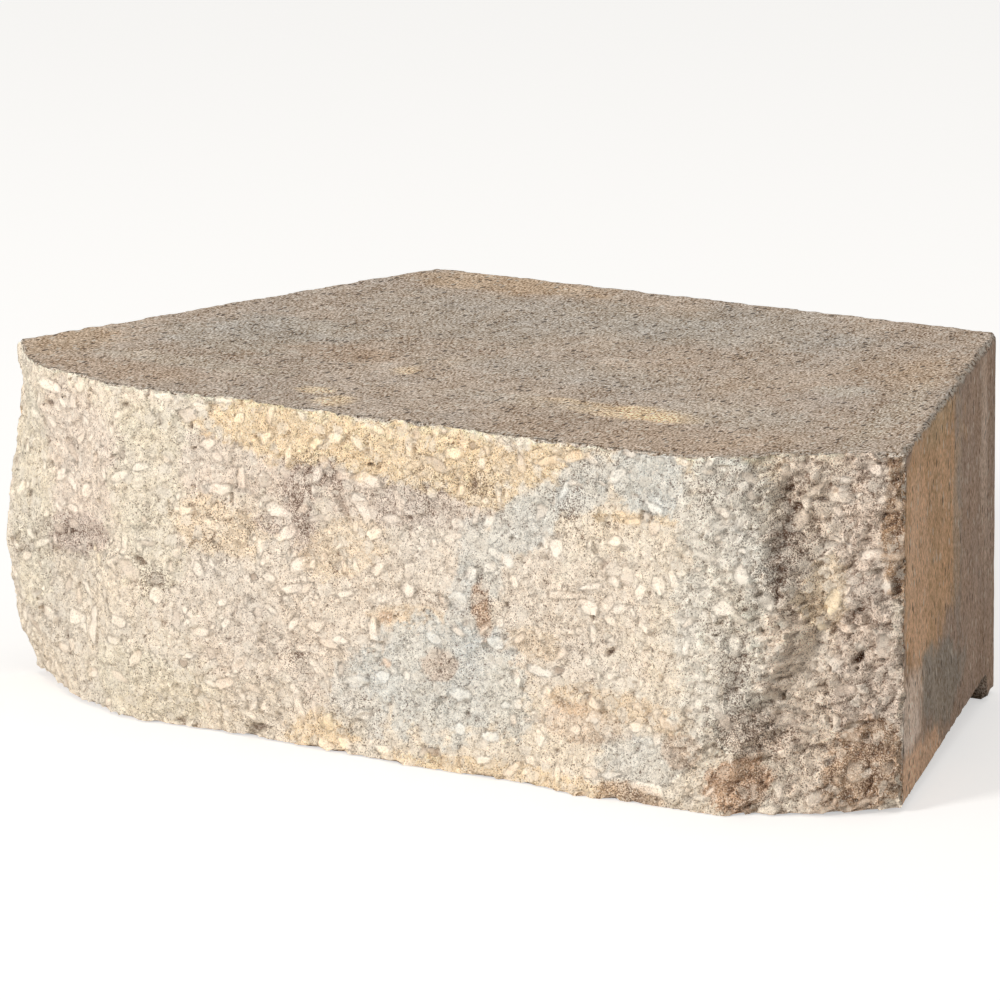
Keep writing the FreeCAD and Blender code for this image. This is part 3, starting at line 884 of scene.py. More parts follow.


# Colours of the blend: soft patches of pigment and a few of painted shade, told face by face, in millimetres

blendAndShade = {
    "cream": "faead3",
    "pinkGrey": "f3decc",
    "mauveGrey": "dac4b4",
    "buff": "ffe2b9",
    "orangeBuff": "f4d6b0",
    "blueGrey": "e4e1d7",
    "brightCream": "fff4e2",
    "yellowCream": "f6e9ce",
    # A colour for painted shade
    "paintedShadeCream": "ecddc8",
    "brown": "c8a17c",
    "rust": "cfa27c",
    "pinkBrown": "ffe6d0",
    "taupe": "cfbba7",
    "coolGrey": "c8bdae",
    "tan": "d6bb9e",
    "warmBrown": "cdb59e",
    "yellowTan": "ffe1b8",
    "palePatch": "d6c6b2",
    "sideOrange": "deb48c",
    "sideBrown": "bca08b",
    "sideGrey": "aea091",
    "sideLight": "f8e0cc",
    "sideFoot": "fbd0ac",
    "sideOlive": "c8b48e",
}
frontPatches = [
    # colour, across, up, half width, half height, turn in degrees, share
    ("pinkGrey", -112, 76, 22, 22, 0, 0.6),
    ("pinkGrey", -60, 82, 34, 9, 0, 0.5),
    ("pinkGrey", -10, 50, 90, 34, 0, 0.35),
    # Painted shade over the lower left of the broken face
    ("paintedShadeCream", -122, 26, 34, 24, 0, 0.8),
    # Painted shadow under the ledge that runs along the left end
    ("mauveGrey", -116, 51, 22, 6, 10, 0.8),
    ("mauveGrey", -35, 22, 34, 20, 0, 0.15),
    ("mauveGrey", -30, 74, 6, 16, 0, 0.7),
    ("mauveGrey", -21, 84, 7, 5, 0, 0.8),
    ("mauveGrey", -43, 65, 5, 3, 0, 0.7),
    ("mauveGrey", 2, 78, 28, 8, 0, 0.5),
    ("yellowCream", -140, 60, 12, 40, 0, 0.6),
    ("yellowCream", -86, 12, 24, 12, 0, 0.6),
    ("yellowCream", -82, 66, 12, 26, 0, 0.6),
    ("yellowCream", -80, 90, 12, 8, 0, 0.6),
    ("buff", -30, 95, 36, 9, 0, 1.0),
    ("buff", 12, 93, 42, 10, 0, 1.0),
    ("buff", 30, 84, 12, 5, 0, 0.9),
    ("buff", 54, 97, 12, 5, 0, 0.9),
    ("buff", -60, 63, 17, 8, -8, 0.5),
    ("buff", -16, 62, 15, 8, 20, 0.4),
    ("orangeBuff", 5, 44, 14, 3.5, 6, 0.6),
    ("orangeBuff", 47, 41, 9, 5, -8, 0.45),
    ("orangeBuff", 74, 26, 24, 5, -4, 0.7),
    ("orangeBuff", 40, 94, 6, 6, 0, 0.4),
    ("buff", -25, 5, 13, 6, 10, 0.8),
    ("buff", 38, 2, 40, 4, 0, 0.8),
    ("buff", 104, 95, 14, 9, 0, 0.5),
    ("buff", 82, 82, 18, 2.2, 4, 0.7),
    ("blueGrey", 84, 92, 12, 11, 0, 1.0),
    ("blueGrey", 64, 89, 11, 7, 36, 0.9),
    ("blueGrey", 44, 76, 16, 7, 40, 0.8),
    ("blueGrey", 29, 62, 8, 12, 0, 0.7),
    ("blueGrey", 24, 50, 6, 14, 0, 0.6),
    ("blueGrey", 17, 25, 28, 19, 0, 0.9),
    ("blueGrey", -10, 20, 12, 13, 0, 0.6),
    ("blueGrey", 82, 13, 16, 8, 0, 0.6),
    ("rust", 29.5, 50, 3, 9, 5, 0.7),
    ("rust", 15.5, 31, 5, 4, 0, 0.4),
    ("rust", 64, 20, 16, 6, 0, 0.3),
    ("rust", 96, 17, 6, 5, 0, 0.4),
    ("rust", -2.5, 29.3, 1.6, 1.2, 0, 0.9),
    ("rust", -2, 43, 2.4, 2.0, 0, 0.5),
    ("pinkBrown", 130, 50, 21, 60, 0, 0.50),
    ("brightCream", 106, 60, 13, 44, 0, 1.0),
    ("mauveGrey", 140, 60, 9, 50, 0, 0.55),
    ("pinkBrown", 116, 22, 10, 7, 0, 0.5),
    ("brown", 80, 2, 10, 4, 0, 0.6),
    ("rust", 112, 8, 8, 8, 0, 0.8),
    ("brown", 140, 12, 10, 11, 0, 0.8),
    ("brown", 147, 80, 4.5, 26, 0, 0.9),
    ("buff", 130, 62, 5, 10, 0, 0.6),
]
topPatches = [
    # colour, across, back from the front corners, half width, half depth, turn, share
    ("coolGrey", -90, 46, 34, 26, 0, 0.7),
    ("coolGrey", -30, 100, 60, 34, 0, 0.5),
    ("coolGrey", 30, 120, 45, 26, 0, 0.5),
    ("coolGrey", 15, 45, 44, 14, 0, 0.4),
    ("warmBrown", 30, 78, 44, 14, 0, 0.4),
    ("tan", -64, 140, 34, 12, 0, 0.9),
    ("warmBrown", 75, 140, 24, 12, 0, 0.5),
    ("tan", -138, 14, 14, 22, 0, 0.9),
    ("warmBrown", -106, -14, 26, 11, 0, 0.9),
    ("palePatch", -92, 5, 30, 6, 0, 0.7),
    ("warmBrown", -60, 38, 18, 11, 0, 0.9),
    ("yellowTan", 58, 9, 20, 8, 0, 0.75),
    ("yellowTan", 63, 8, 16, 6, -3, 1.0),
    ("yellowTan", 37, 13, 12, 3.5, 0, 0.5),
    ("yellowTan", -39, -9, 6, 4, 0, 0.7),
    ("yellowTan", -27, -19, 5, 6, 0, 0.7),
    ("yellowTan", -28, 25, 4, 6, 0, 0.6),
    ("palePatch", 24, 8, 30, 5, 0, 0.5),
    ("warmBrown", 100, 60, 20, 90, -8, 0.5),
    ("palePatch", 98, 62, 9, 8, 0, 0.8),
    ("palePatch", 122, 45, 5, 40, 12, 0.7),
    ("warmBrown", 70, -14, 44, 16, 0, 0.8),
    ("palePatch", 86, 20, 24, 14, -6, 0.5),
    ("tan", 108, 84, 8, 30, 14, 0.4),
]
sidePatches = [
    # colour, back from the front corner, up, half length, half height, turn, share
    ("sideOrange", 38, 68, 50, 44, 0, 1.0),
    ("sideFoot", 22, 62, 20, 26, 0, 0.5),
    ("sideOlive", 55, 97, 22, 5, 0, 0.3),
    ("sideGrey", 62, 19, 34, 13, -10, 1.0),
    ("sideLight", 12, 24, 16, 12, -10, 0.9),
    ("sideFoot", 20, 4, 38, 8, -4, 0.9),
    ("sideGrey", 86, 62, 7, 46, 0, 0.5),
    ("sideLight", 128, 74, 5, 24, 0, 0.45),
    ("sideLight", 133, 60, 3, 34, 0, 0.3),
]


stainsAndShade = {
    "wander": (22.0, 0.60),          # over which length and by which share outlines stray
    "fray": (5.0, 0.70),
    "warmCell": 30.0,
    "warm": (0.10, 0.03, -0.06),     # red, green, blue
    "cloudCell": 46.0,               # clouds of the faces out of sight
    "cloud": (0.02, 0.28, 0.85),     # where one starts, how soon it is full, how much it hides
    "mottleCell": 6.5,
    "mottle": (0.12, 0.14, 0.16),
    "upperPaling": (0.15, 2.0),             # how much paler the upper edge is, and how far down
    "hollowShade": (0.45, 0.20),          # painted shade in hollows and pits, and what the right end adds
    "endFrom": (12, 20),             # it starts this far from the ridge, over this length
    "crowdCell": 9.0,
    "crowd": (0.22, 0.75),           # usual share of pores with painted shade, and how much it changes
}


def layPatches(points, across, up, base, patches, seed, soft):
    # Mixes each patch over the base. Its outline is an ellipse pushed about by noise, and its
    # edge runs out over soft, a share of its size.
    colour = np.repeat(linearColour(blendAndShade[base])[None, :], len(points), axis=0)
    wanderCell, wanderShare = stainsAndShade["wander"]
    frayCell, frayShare = stainsAndShade["fray"]
    wander = layeredNoise(points, wanderCell, seed, 4, 0.6)
    fray = layeredNoise(points, frayCell, seed + 40, 4, 0.8)
    for name, middleAcross, middleUp, halfWidth, halfHeight, turn, share in patches:
        along, beside = turnedAway(across, up, middleAcross, middleUp, turn)
        reach = np.hypot(along / halfWidth, beside / halfHeight)
        cover = share * ease((1.0 - reach + wanderShare * wander + frayShare * fray) / soft + 0.5)
        colour += (linearColour(blendAndShade[name]) - colour) * cover[:, None]
    warmth = layeredNoise(points, stainsAndShade["warmCell"], seed + 80, 4, 0.7)[:, None]
    return colour * (1 + np.array(stainsAndShade["warm"]) * warmth)


def cloudedBlend(points, base, names, seed):
    # The faces out of sight: the same pigments in clouds
    colour = np.repeat(linearColour(blendAndShade[base])[None, :], len(points), axis=0)
    starts, fullBy, hides = stainsAndShade["cloud"]
    for place, name in enumerate(names):
        cloud = layeredNoise(points + 300 * place, stainsAndShade["cloudCell"], seed + 7 * place, 5, 0.6)
        cover = hides * ease((cloud - starts) / fullBy)
        colour += (linearColour(blendAndShade[name]) - colour) * cover[:, None]
    return colour


def brokenColours():
    # The paste in its patches, mottled, with painted shade in hollows and pits, more of it at the right end
    spots = faceSpots.reshape(-1, 3)
    paste = layPatches(spots, spots[:, 0], spots[:, 2], "cream", frontPatches, 131, 0.22)
    paste = paste.reshape(faceSpots.shape)
    mottle = layeredNoise(faceSpots, stainsAndShade["mottleCell"], 211, 4, 0.7)[..., None]
    stained = paste * (1 + np.array(stainsAndShade["mottle"]) * mottle)
    upperPaling, palingDown = stainsAndShade["upperPaling"]
    stained *= 1 + upperPaling * np.exp(-(height - faceSpots[..., 2:]) / palingDown)
    endFrom, endOver = stainsAndShade["endFrom"]
    usual, endMore = stainsAndShade["hollowShade"]
    atEnd = ease((faceSpots[..., 0] - ridge - endFrom) / endOver)
    paintedShade = ((usual + endMore * atEnd) * faceMarks["hollowShade"])[..., None]
    return stained + (linearColour(brokenFinish["poreShade"]) - stained) * paintedShade


def poreShadeCrowd():
    # How thick the pores with painted shade stand on the broken face, from 0 to 1
    x, z = faceSpots[..., 0], faceSpots[..., 2]
    usual, change = stainsAndShade["crowd"]
    crowd = usual + change * layeredNoise(faceSpots, stainsAndShade["crowdCell"], 223, 5, 0.8)
    for across, up, halfWidth, halfHeight, share in poreShadeCrowds:
        crowd = np.maximum(crowd, crowd + share * hump(x - across, halfWidth) * hump(z - up, halfHeight))
    return np.clip(crowd, 0, 1)


def blockColours(points, patch):
    # One linear colour for each point, by the face it belongs to
    backwards = points[:, 1] - cornerLine
    colours = np.zeros((len(points), 3))
    top, right = patch == "top", patch == "right"
    rest = ~(onFace | top | right)
    colours[onFace] = brokenColours().reshape(-1, 3)[sourceRow[onFace]]
    spots = points[top]
    colours[top] = layPatches(spots, spots[:, 0], backwards[top], "taupe", topPatches, 151, 0.5)
    spots = points[right]
    colours[right] = layPatches(spots, backwards[right], spots[:, 2], "sideBrown", sidePatches, 171, 0.35)
    hidden = ("sideOrange", "sideGrey", "tan", "sideLight")
    colours[rest] = cloudedBlend(points[rest], "sideBrown", hidden, 191)
    return colours


brokenFinish = {
    "straySize": 1.3,             # outlines of stones stray over this length, in mm like the rest
    "stray": 1.1,
    "gravelSize": 3.6,            # broken stones in the paste
    "gravelShare": 0.48,
    "gravelOutline": (0.05, 0.11),    # it fades in between these shares of the size
    "gravelHides": 0.50,          # most that one of them hides the paste
    "sandSize": 1.25,
    "sandLight": (0.86, 1.16),    # darkest and palest grain, times the paste
    "poreSize": 0.43,             # pores between the sand grains, coloured as painted shade
    "poreLevel": (0.368, 0.520),    # noise below it is a pore: where they are few, where they crowd
    "poreShare": 0.80,            # how dark a pore's painted shade is
    "gapPores": (0.12, 0.06),     # this close to a broken stone there are more, by this much
    "pasteOnStone": 0.35,         # share of pores and relief that shows on stones
    "fineLight": (0.80, 1.22),
    "glint": (0.55, 0.64, 0.85),  # noise between the first two turns into pale grains, up to a share
    "raggedEdge": 0.36,           # outlines of the cut stones stray by up to this
    "rimAway": 0.16,              # the gap round a cut stone, with its painted shadow, lies this far outside it
    "rimFade": (0.30, 0.08),
    "rimDepth": 0.3,
    # Colour of the painted shade in pores, in the gaps round stones and in hollows
    "poreShade": "6b503f",
    "paleStone": "fbf0e0",
    "gravelLean": 0.24,           # slopes of the broken stones and sand grains
    "sandLean": 0.34,
    "grain": 0.50,                # relief of the finest grains
    "stoneGrain": 0.18,           # share of the relief that a cut stone keeps
}
patchOfRow = np.concatenate([
    np.full(facePointCount, "face"),
    *[np.full(grid.shape[0] * grid.shape[1], name) for name, grid in patches.items()],
])[sourceRow]
printStage("colours")
tints = blockColours(points, patchOfRow)
faceMarks["poreCrowd"] = poreShadeCrowd()


def faceMark(name, fill):
    # A value or colour kept on the broken face, and a plain one elsewhere
    values = np.tile(np.asarray(fill, float), (len(points), 1))
    width = values.shape[1]
    values[onFace] = faceMarks[name].reshape(-1, width)[sourceRow[onFace]]
    return values


def makeBlockMesh():
    # Stores the faces patch by patch, with a material for each kind of surface
    finishOf = {"face": 0, "top": 1, "bottom": 1, "left": 2, "right": 2, "back": 2}
    polygons = [*quads.values(), seam]
    finishes = [np.full(len(rows), finishOf[name]) for name, rows in quads.items()]
    finishes.append(np.zeros(len(seam), int))
    corners = np.concatenate([rows.reshape(-1) for rows in polygons])
    sizes = np.concatenate([np.full(len(rows), rows.shape[1]) for rows in polygons])
    mesh = bpy.data.meshes.new("split_wall_block")
    mesh.vertices.add(len(points))
    mesh.vertices.foreach_set("co", (points * mm).astype(np.float32).reshape(-1))
    mesh.loops.add(len(corners))
    mesh.loops.foreach_set("vertex_index", corners.astype(np.int32))
    mesh.polygons.add(len(sizes))
    mesh.polygons.foreach_set("loop_start", (np.cumsum(sizes) - sizes).astype(np.int32))
    mesh.polygons.foreach_set("material_index", np.concatenate(finishes).astype(np.int32))
    mesh.update(calc_edges=True)
    mesh.polygons.foreach_set("use_smooth", np.ones(len(sizes), bool))
    mesh.set_sharp_from_angle(angle=math.radians(48))
    colours = {
        "concreteTint": np.column_stack([np.clip(tints, 0, 1), np.ones(len(tints))]),
        "stoneTint": faceMark("stoneTint", [1, 1, 1, 0]),
    }
    for name, values in colours.items():
        attribute = mesh.attributes.new(name, "FLOAT_COLOR", "POINT")
        attribute.data.foreach_set("color", values.astype(np.float32).reshape(-1))
    shares = {
        "stoneInset": faceMark("stoneInset", [1.5]),
        "stoneRim": faceMark("stoneRim", [0]),
        "poreCrowd": faceMark("poreCrowd", [0.3]),
        "rawness": rawness,
    }
    for name, values in shares.items():
        attribute = mesh.attributes.new(name, "FLOAT", "POINT")
        attribute.data.foreach_set("value", values.astype(np.float32).reshape(-1))
    return mesh


# Materials

def newMaterial(name):
    material = bpy.data.materials.new(name)
    material.use_nodes = True
    material.node_tree.nodes.clear()
    return material


def addNode(tree, kind, inputs, settings=None, output=0):
    # Adds a node with its settings and its inputs, each a value or another node's output, and
    # gives back one of its own outputs
    node = tree.nodes.new("ShaderNode" + kind)
    for name, value in (settings or {}).items():
        setattr(node, name, value)
    for plug, source in inputs.items():
        if isinstance(source, bpy.types.NodeSocket):
            tree.links.new(source, node.inputs[plug])
        else:
            node.inputs[plug].default_value = source
    return node.outputs[output] if len(node.outputs) else node


def rgba(code):
    return (*linearColour(code), 1.0)


def perMetre(millimetres):
    # Noise scale at which one cell has this size
    return 1000.0 / millimetres


def calc(tree, operation, *values):
    return addNode(tree, "Math", dict(enumerate(values)), {"operation": operation})


def vectorCalc(tree, operation, *values, output=0):
    return addNode(tree, "VectorMath", dict(enumerate(values)), {"operation": operation}, output)


def ramp(tree, value, start, end, low=0.0, high=1.0):
    # Goes from low to high while the value goes from start to end, and stays level beyond
    return addNode(tree, "MapRange", {"Value": value, 1: start, 2: end, 3: low, 4: high})


def noiseAt(tree, place, size, detail, roughness, output=0):
    return addNode(tree, "TexNoise", {
        "Vector": place, "Scale": perMetre(size), "Detail": detail, "Roughness": roughness,
    }, output=output)


def stored(tree, name, output="Fac"):
    # A value or colour kept at the points of the mesh
    return addNode(tree, "Attribute", {}, {"attribute_name": name}, output)


def channel(tree, colour, place):
    return addNode(tree, "SeparateColor", {"Color": colour}, output=place)


def mixed(tree, share, first, second):
    return addNode(tree, "Mix", {0: share, 6: first, 7: second}, {"data_type": "RGBA"}, 2)


def finishConcrete(tree, colour, relief, depth):
    # Cement and stone scatter light in all directions; the index is that of quartz and lime
    bumped = addNode(tree, "Bump", {"Height": relief, "Strength": 1.0, "Distance": depth * mm})
    shader = addNode(tree, "BsdfPrincipled", {
        "Base Color": colour, "Normal": bumped, "Roughness": 0.93, "IOR": 1.5, "Specular IOR Level": 0.3,
    })
    addNode(tree, "OutputMaterial", {"Surface": shader})


def facetHeight(tree, place, cells, lean):
    # Each cell of a Voronoi pattern is a plane that leans its own way; height in mm
    away = vectorCalc(tree, "SUBTRACT", place, cells.node.outputs["Position"])
    ways = vectorCalc(tree, "SUBTRACT", cells, (0.5, 0.5, 0.5))
    rise = vectorCalc(tree, "DOT_PRODUCT", away, ways, output="Value")
    return calc(tree, "MULTIPLY", rise, 2 * lean / mm)


def makeBrokenConcrete():
    # Concrete broken apart: pale paste packed with sand and gravel, each grain a plane of its
    # own, dark pores between them, and the larger cut stones with a thin gap round part of them;
    # the pores and the gaps are darkened with painted shade
    finish = brokenFinish
    material = newMaterial("broken_concrete")
    tree = material.node_tree
    place = addNode(tree, "TexCoord", {}, output="Object")
    tint = stored(tree, "concreteTint", "Color")
    stoneTint = stored(tree, "stoneTint", "Color")
    stoneHides = stored(tree, "stoneTint", "Alpha")
    inset = stored(tree, "stoneInset")
    rim = stored(tree, "stoneRim")
    crowd = stored(tree, "poreCrowd")

    fine = noiseAt(tree, place, finish["poreSize"], 3.0, 0.60)
    stray = noiseAt(tree, place, finish["straySize"], 3.0, 0.65, "Color")
    reach = finish["stray"] * mm
    strayed = vectorCalc(tree, "MULTIPLY_ADD", stray, (reach, reach, reach), place)
    stones = {"Vector": strayed, "Scale": perMetre(finish["gravelSize"])}
    grains = {"Vector": strayed, "Scale": perMetre(finish["sandSize"])}
    gravel = addNode(tree, "TexVoronoi", stones, output="Color")
    border = addNode(tree, "TexVoronoi", stones, {"feature": "DISTANCE_TO_EDGE"})
    sand = addNode(tree, "TexVoronoi", grains, output="Color")
    gravelLot = channel(tree, gravel, 1)
    gravelTone = channel(tree, gravel, 2)
    sandTone = channel(tree, sand, 1)

    least = 1 - finish["gravelShare"]
    chosen = ramp(tree, gravelLot, least - 0.02, least + 0.02)
    inGravel = ramp(tree, border, *finish["gravelOutline"])
    gravelHere = calc(tree, "MULTIPLY", chosen, inGravel)
    gravelHides = ramp(tree, gravelTone, 0.0, 1.0, 0.0, finish["gravelHides"])
    gravelCover = calc(tree, "MULTIPLY", gravelHere, gravelHides)

    ragged = ramp(tree, fine, 0.3, 0.7, -finish["raggedEdge"], finish["raggedEdge"])
    edge = calc(tree, "ADD", inset, ragged)
    inStone = ramp(tree, edge, 0.10, -0.10)
    cover = calc(tree, "MULTIPLY", inStone, stoneHides)
    smooth = calc(tree, "MAXIMUM", inStone, gravelCover)
    showsPaste = ramp(tree, smooth, 0.0, 0.8, 1.0, finish["pasteOnStone"])

    # Pores: painted shade in the voids between sand grains, commoner near a stone's edge
    poreLevel = ramp(tree, crowd, 0.0, 1.0, *finish["poreLevel"])
    gapReach, gapPores = finish["gapPores"]
    gap = ramp(tree, border, gapReach, 0.0, 0.0, gapPores)
    nearGap = calc(tree, "ADD", poreLevel, gap)
    below = calc(tree, "SUBTRACT", nearGap, fine)
    pore = ramp(tree, below, 0.0, 0.08, 0.0, finish["poreShare"])
    poreHere = calc(tree, "MULTIPLY", pore, showsPaste)
    # A painted shadow in the gap round part of a cut stone's rim; the gap is also grooved into the relief
    fromRim = calc(tree, "SUBTRACT", edge, finish["rimAway"])
    rimLine = ramp(tree, calc(tree, "ABSOLUTE", fromRim), *finish["rimFade"])
    rimPart = ramp(tree, sandTone, 0.4, 0.6)
    rimSeen = calc(tree, "MULTIPLY", rimLine, rimPart)
    rimHere = calc(tree, "MULTIPLY", rimSeen, rim)
    paintedShade = calc(tree, "MAXIMUM", poreHere, rimHere)

    sandLight = ramp(tree, sandTone, 0.0, 1.0, *finish["sandLight"])
    fineLight = ramp(tree, fine, 0.37, 0.63, *finish["fineLight"])
    grainLight = calc(tree, "MULTIPLY", sandLight, fineLight)
    sanded = addNode(tree, "VectorMath", {0: tint, "Scale": grainLight}, {"operation": "SCALE"})
    glintFrom, glintTo, glintShare = finish["glint"]
    glint = ramp(tree, fine, glintFrom, glintTo, 0.0, glintShare)
    paleStone = rgba(finish["paleStone"])
    glinting = mixed(tree, glint, sanded, paleStone)
    withGravel = mixed(tree, gravelCover, glinting, paleStone)
    withStones = mixed(tree, cover, withGravel, stoneTint)
    pored = mixed(tree, paintedShade, withStones, rgba(finish["poreShade"]))

    gravelRise = facetHeight(tree, strayed, gravel, finish["gravelLean"])
    sandRise = facetHeight(tree, strayed, sand, finish["sandLean"])
    sandSeen = calc(tree, "MULTIPLY_ADD", sandRise, showsPaste, gravelRise)
    grain = calc(tree, "MULTIPLY_ADD", fine, finish["grain"], sandSeen)
    outside = ramp(tree, inStone, 0.0, 1.0, 1.0, finish["stoneGrain"])
    relief = calc(tree, "MULTIPLY", grain, outside)
    grooved = calc(tree, "MULTIPLY_ADD", rimHere, -finish["rimDepth"], relief)
    finishConcrete(tree, pored, grooved, 1.0)
    return material


mouldedFinish = {
    "sandSize": 0.58,        # sand at the surface of the dry mix
    "sandTone": 2.6,         # its light and dark, as a multiple of the contrast
    "clumpSize": 4.0,
    "clumpTone": 0.7,
    "cloudSize": 18.0,
    "cloudTone": 0.16,
    "spread": (0.86, 1.0, 1.18),    # red, green, blue: dark grains are browner than pale ones
    "dotSize": 1.6,          # single pale grains, and pinholes with painted shade
    "dotReach": (0.12, 0.38),
    "dotHides": 0.8,
    "chipSize": 1.1,         # broken grains where an edge has crumbled
    "chipRelief": 3.0,
    # Colour of the painted shade in pinholes and between crumbled grains
    "pitShade": "51443a",
    "paleSand": "efe4d4",
    "bump": 0.55,
}


def makeMouldedConcrete(name, drawnOut, contrast, dotShare):
    # Dry concrete pressed into and drawn out of its mould: matt, like coarse sandpaper, with pale
    # grains and pinholes with painted shade in them, all drawn out the way that the tool moved along it
    finish = mouldedFinish
    material = newMaterial(name)
    tree = material.node_tree
    place = addNode(tree, "TexCoord", {}, output="Object")
    tint = stored(tree, "concreteTint", "Color")
    raw = stored(tree, "rawness")
    drawn = addNode(tree, "Mapping", {"Vector": place, "Scale": tuple(1 / out for out in drawnOut)})
    paleSand = rgba(finish["paleSand"])
    pitShade = rgba(finish["pitShade"])

    sand = noiseAt(tree, drawn, finish["sandSize"], 2.0, 0.6)
    clump = noiseAt(tree, drawn, finish["clumpSize"], 5.0, 0.75)
    cloud = noiseAt(tree, drawn, finish["cloudSize"], 5.0, 0.7)
    sandTone = finish["sandTone"] * contrast
    clumpTone = finish["clumpTone"] * contrast
    sandLight = ramp(tree, sand, 0.32, 0.68, -sandTone, sandTone)
    clumpLight = ramp(tree, clump, 0.33, 0.67, -clumpTone, clumpTone)
    cloudLight = ramp(tree, cloud, 0.3, 0.7, -finish["cloudTone"], finish["cloudTone"])
    coarse = calc(tree, "ADD", clumpLight, cloudLight)
    light = calc(tree, "ADD", coarse, sandLight)
    spread = vectorCalc(tree, "MULTIPLY_ADD", light, finish["spread"], (1.0, 1.0, 1.0))
    toned = vectorCalc(tree, "MULTIPLY", tint, spread)

    dots = addNode(tree, "TexVoronoi", {"Vector": drawn, "Scale": perMetre(finish["dotSize"])})
    dotLot = channel(tree, dots.node.outputs["Color"], 0)
    dotSize = channel(tree, dots.node.outputs["Color"], 1)
    dotReach = ramp(tree, dotSize, 0.0, 1.0, *finish["dotReach"])
    inside = calc(tree, "SUBTRACT", dotReach, dots)
    dot = ramp(tree, inside, -0.04, 0.06)
    isPale = ramp(tree, dotLot, 1 - dotShare, 1.01 - dotShare, 0.0, finish["dotHides"])
    isPit = ramp(tree, dotLot, dotShare, dotShare - 0.01, 0.0, finish["dotHides"])
    pale = calc(tree, "MULTIPLY", dot, isPale)
    pit = calc(tree, "MULTIPLY", dot, isPit)
    flecked = mixed(tree, pale, toned, paleSand)
    # Pinholes get painted shade
    pitted = mixed(tree, pit, flecked, pitShade)

    chip = noiseAt(tree, place, finish["chipSize"], 2.0, 0.6)
    chipPale = ramp(tree, chip, 0.47, 0.53, 0.0, 0.85)
    # Where an edge has crumbled: fresh pale grains, and painted shade between them
    chipShade = ramp(tree, chip, 0.44, 0.38, 0.0, 0.75)
    freshPale = calc(tree, "MULTIPLY", raw, chipPale)
    freshShade = calc(tree, "MULTIPLY", raw, chipShade)
    freshened = mixed(tree, freshPale, pitted, paleSand)
    crumbShaded = mixed(tree, freshShade, freshened, pitShade)

    grains = calc(tree, "ADD", sand, clump)
    sunk = calc(tree, "SUBTRACT", grains, pit)
    chipRise = calc(tree, "MULTIPLY", chip, raw)
    relief = calc(tree, "MULTIPLY_ADD", chipRise, finish["chipRelief"], sunk)
    finishConcrete(tree, crumbShaded, relief, finish["bump"])
    return material


printStage("block mesh")
blockPiece = bpy.data.objects.new("split_wall_block", makeBlockMesh())
bpy.context.scene.collection.objects.link(blockPiece)
for finish in (
    makeBrokenConcrete(),
    makeMouldedConcrete("pressed_concrete", (1, 2.3, 1), 0.36, 0.40),
    makeMouldedConcrete("drawn_concrete", (1, 1, 2.4), 0.19, 0.30),
):
    blockPiece.data.materials.append(finish)
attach(blockPiece, "root")
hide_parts("wall_block")


# Floor, light and camera

studio = {
    "floorHalf": 9.0,
    "floorCrowd": 4,          # how strongly the floor's points crowd round the block
    "floorPoints": 121,
    "floorGap": 0.0002,
    "floorPale": "dedbd6",
    "floorGlow": 0.52,        # only what the camera sees
    "dip": 0.25,              # over this length the floor falls to the level of the lip
    "skyFill": 0.45,
    "keyPower": 70.0,
    "keySize": 0.7,
    "keyPlace": (-0.82, -2.74, 1.05),
    "topPower": 6.0,
    "topSize": 1.2,
    "topPlace": (0.3, 0.4, 2.2),
}


def makeFloor():
    # A wide grid that falls by the lip's depth from the front edge to the lip, and is flat beyond:
    # minus half the depth, minus a slope that fades out as a hyperbolic tangent
    crowd = studio["floorCrowd"]
    shares = np.sinh(np.linspace(-crowd, crowd, studio["floorPoints"])) / math.sinh(crowd)
    x, y = np.meshgrid(shares * studio["floorHalf"], shares * studio["floorHalf"])
    halfDrop = block["lipDrop"] * mm / 2
    frontLevel = math.tanh(-frontLine * mm / studio["dip"])
    z = -halfDrop - halfDrop * np.tanh(y / studio["dip"]) / frontLevel - studio["floorGap"]
    count = len(shares)
    spots = np.stack([x, y, z], axis=-1).reshape(-1, 3)
    faces = gridFaces(np.arange(count * count).reshape(count, count), False)
    mesh = bpy.data.meshes.new("studio_floor")
    mesh.from_pydata(spots.tolist(), [], faces.tolist())
    mesh.polygons.foreach_set("use_smooth", np.ones(len(faces), bool))
    material = newMaterial("paper_floor")
    tree = material.node_tree
    seen = addNode(tree, "LightPath", {}, output="Is Camera Ray")
    strength = calc(tree, "MULTIPLY", seen, studio["floorGlow"])
    glow = addNode(tree, "Emission", {"Color": (1, 1, 1, 1), "Strength": strength})
    paper = addNode(tree, "BsdfDiffuse", {"Color": rgba(studio["floorPale"])})
    both = addNode(tree, "AddShader", {0: paper, 1: glow})
    addNode(tree, "OutputMaterial", {"Surface": both})
    mesh.materials.append(material)
    floor = bpy.data.objects.new("studio_floor", mesh)
    bpy.context.scene.collection.objects.link(floor)


def makeWorld():
    # White to the camera and in reflections, a soft grey fill for the object
    world = bpy.data.worlds.new("studio_air")
    bpy.context.scene.world = world
    world.use_nodes = True
    tree = world.node_tree
    tree.nodes.clear()
    seen = addNode(tree, "LightPath", {}, output="Is Camera Ray")
    mirrored = addNode(tree, "LightPath", {}, output="Is Glossy Ray")
    through = addNode(tree, "LightPath", {}, output="Is Transmission Ray")
    either = calc(tree, "MAXIMUM", calc(tree, "MAXIMUM", seen, mirrored), through)
    strength = ramp(tree, either, 0.0, 1.0, studio["skyFill"], 1.0)
    background = addNode(tree, "Background", {"Strength": strength})
    addNode(tree, "OutputWorld", {"Surface": background})


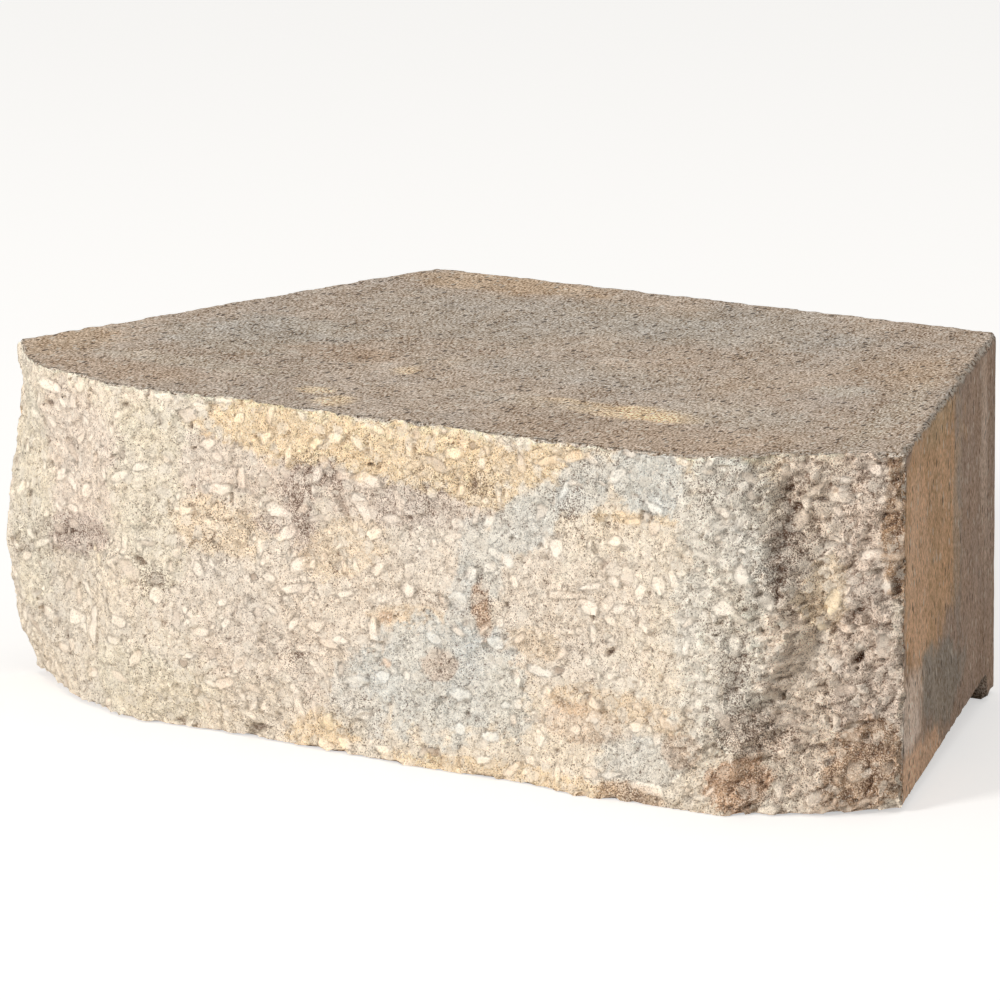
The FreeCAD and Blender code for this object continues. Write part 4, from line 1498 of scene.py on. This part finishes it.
def facing(across, upwards, backwards, place):
    # The matrix of a lamp or camera with these axes at a place
    rows = np.eye(4)
    rows[:3] = np.stack([across, upwards, backwards, place], axis=1)
    return Matrix(rows.tolist())


def makeLamp(name, place, power, size):
    # A square soft box that looks at the middle of the block
    lamp = bpy.data.lights.new(name, "AREA")
    lamp.energy = power
    lamp.size = size
    lampObject = bpy.data.objects.new(name, lamp)
    bpy.context.scene.collection.objects.link(lampObject)
    away = np.array(place) - [0, 0, height * mm / 2]
    backwards = away / np.linalg.norm(away)
    across = np.cross([0, 0, 1], backwards)
    across /= np.linalg.norm(across)
    lampObject.matrix_world = facing(across, np.cross(backwards, across), backwards, place)


cameraSet = {
    "place": (1.078565, -1.846943, 0.588132),
    "azimuth": 30.6924,       # degrees it is turned left of straight back
    "elevation": 13.9161,     # degrees it looks down
    "roll": -0.57441,
    "lens": 267.813,
    "film": 36.0,
}


def makeCamera():
    # Looks along forward; the picture is rolled about that line
    azimuth, elevation, roll = [math.radians(cameraSet[name]) for name in ("azimuth", "elevation", "roll")]
    right = np.array([math.cos(azimuth), math.sin(azimuth), 0])
    ahead = np.array([-math.sin(azimuth), math.cos(azimuth), 0])
    forward = ahead * math.cos(elevation) - np.array([0, 0, math.sin(elevation)])
    up = np.cross(right, forward)
    across = right * math.cos(roll) + up * math.sin(roll)
    upwards = up * math.cos(roll) - right * math.sin(roll)
    camera = bpy.data.cameras.new("photo_camera")
    camera.lens = cameraSet["lens"]
    camera.sensor_width = cameraSet["film"]
    camera.clip_end = 100
    cameraObject = bpy.data.objects.new("photo_camera", camera)
    bpy.context.scene.collection.objects.link(cameraObject)
    cameraObject.matrix_world = facing(across, upwards, -forward, cameraSet["place"])
    bpy.context.scene.camera = cameraObject


printStage("studio")
makeFloor()
makeWorld()
makeLamp("key_light", studio["keyPlace"], studio["keyPower"], studio["keySize"])
makeLamp("top_light", studio["topPlace"], studio["topPower"], studio["topSize"])
makeCamera()
bpy.context.scene.view_settings.view_transform = "Standard"
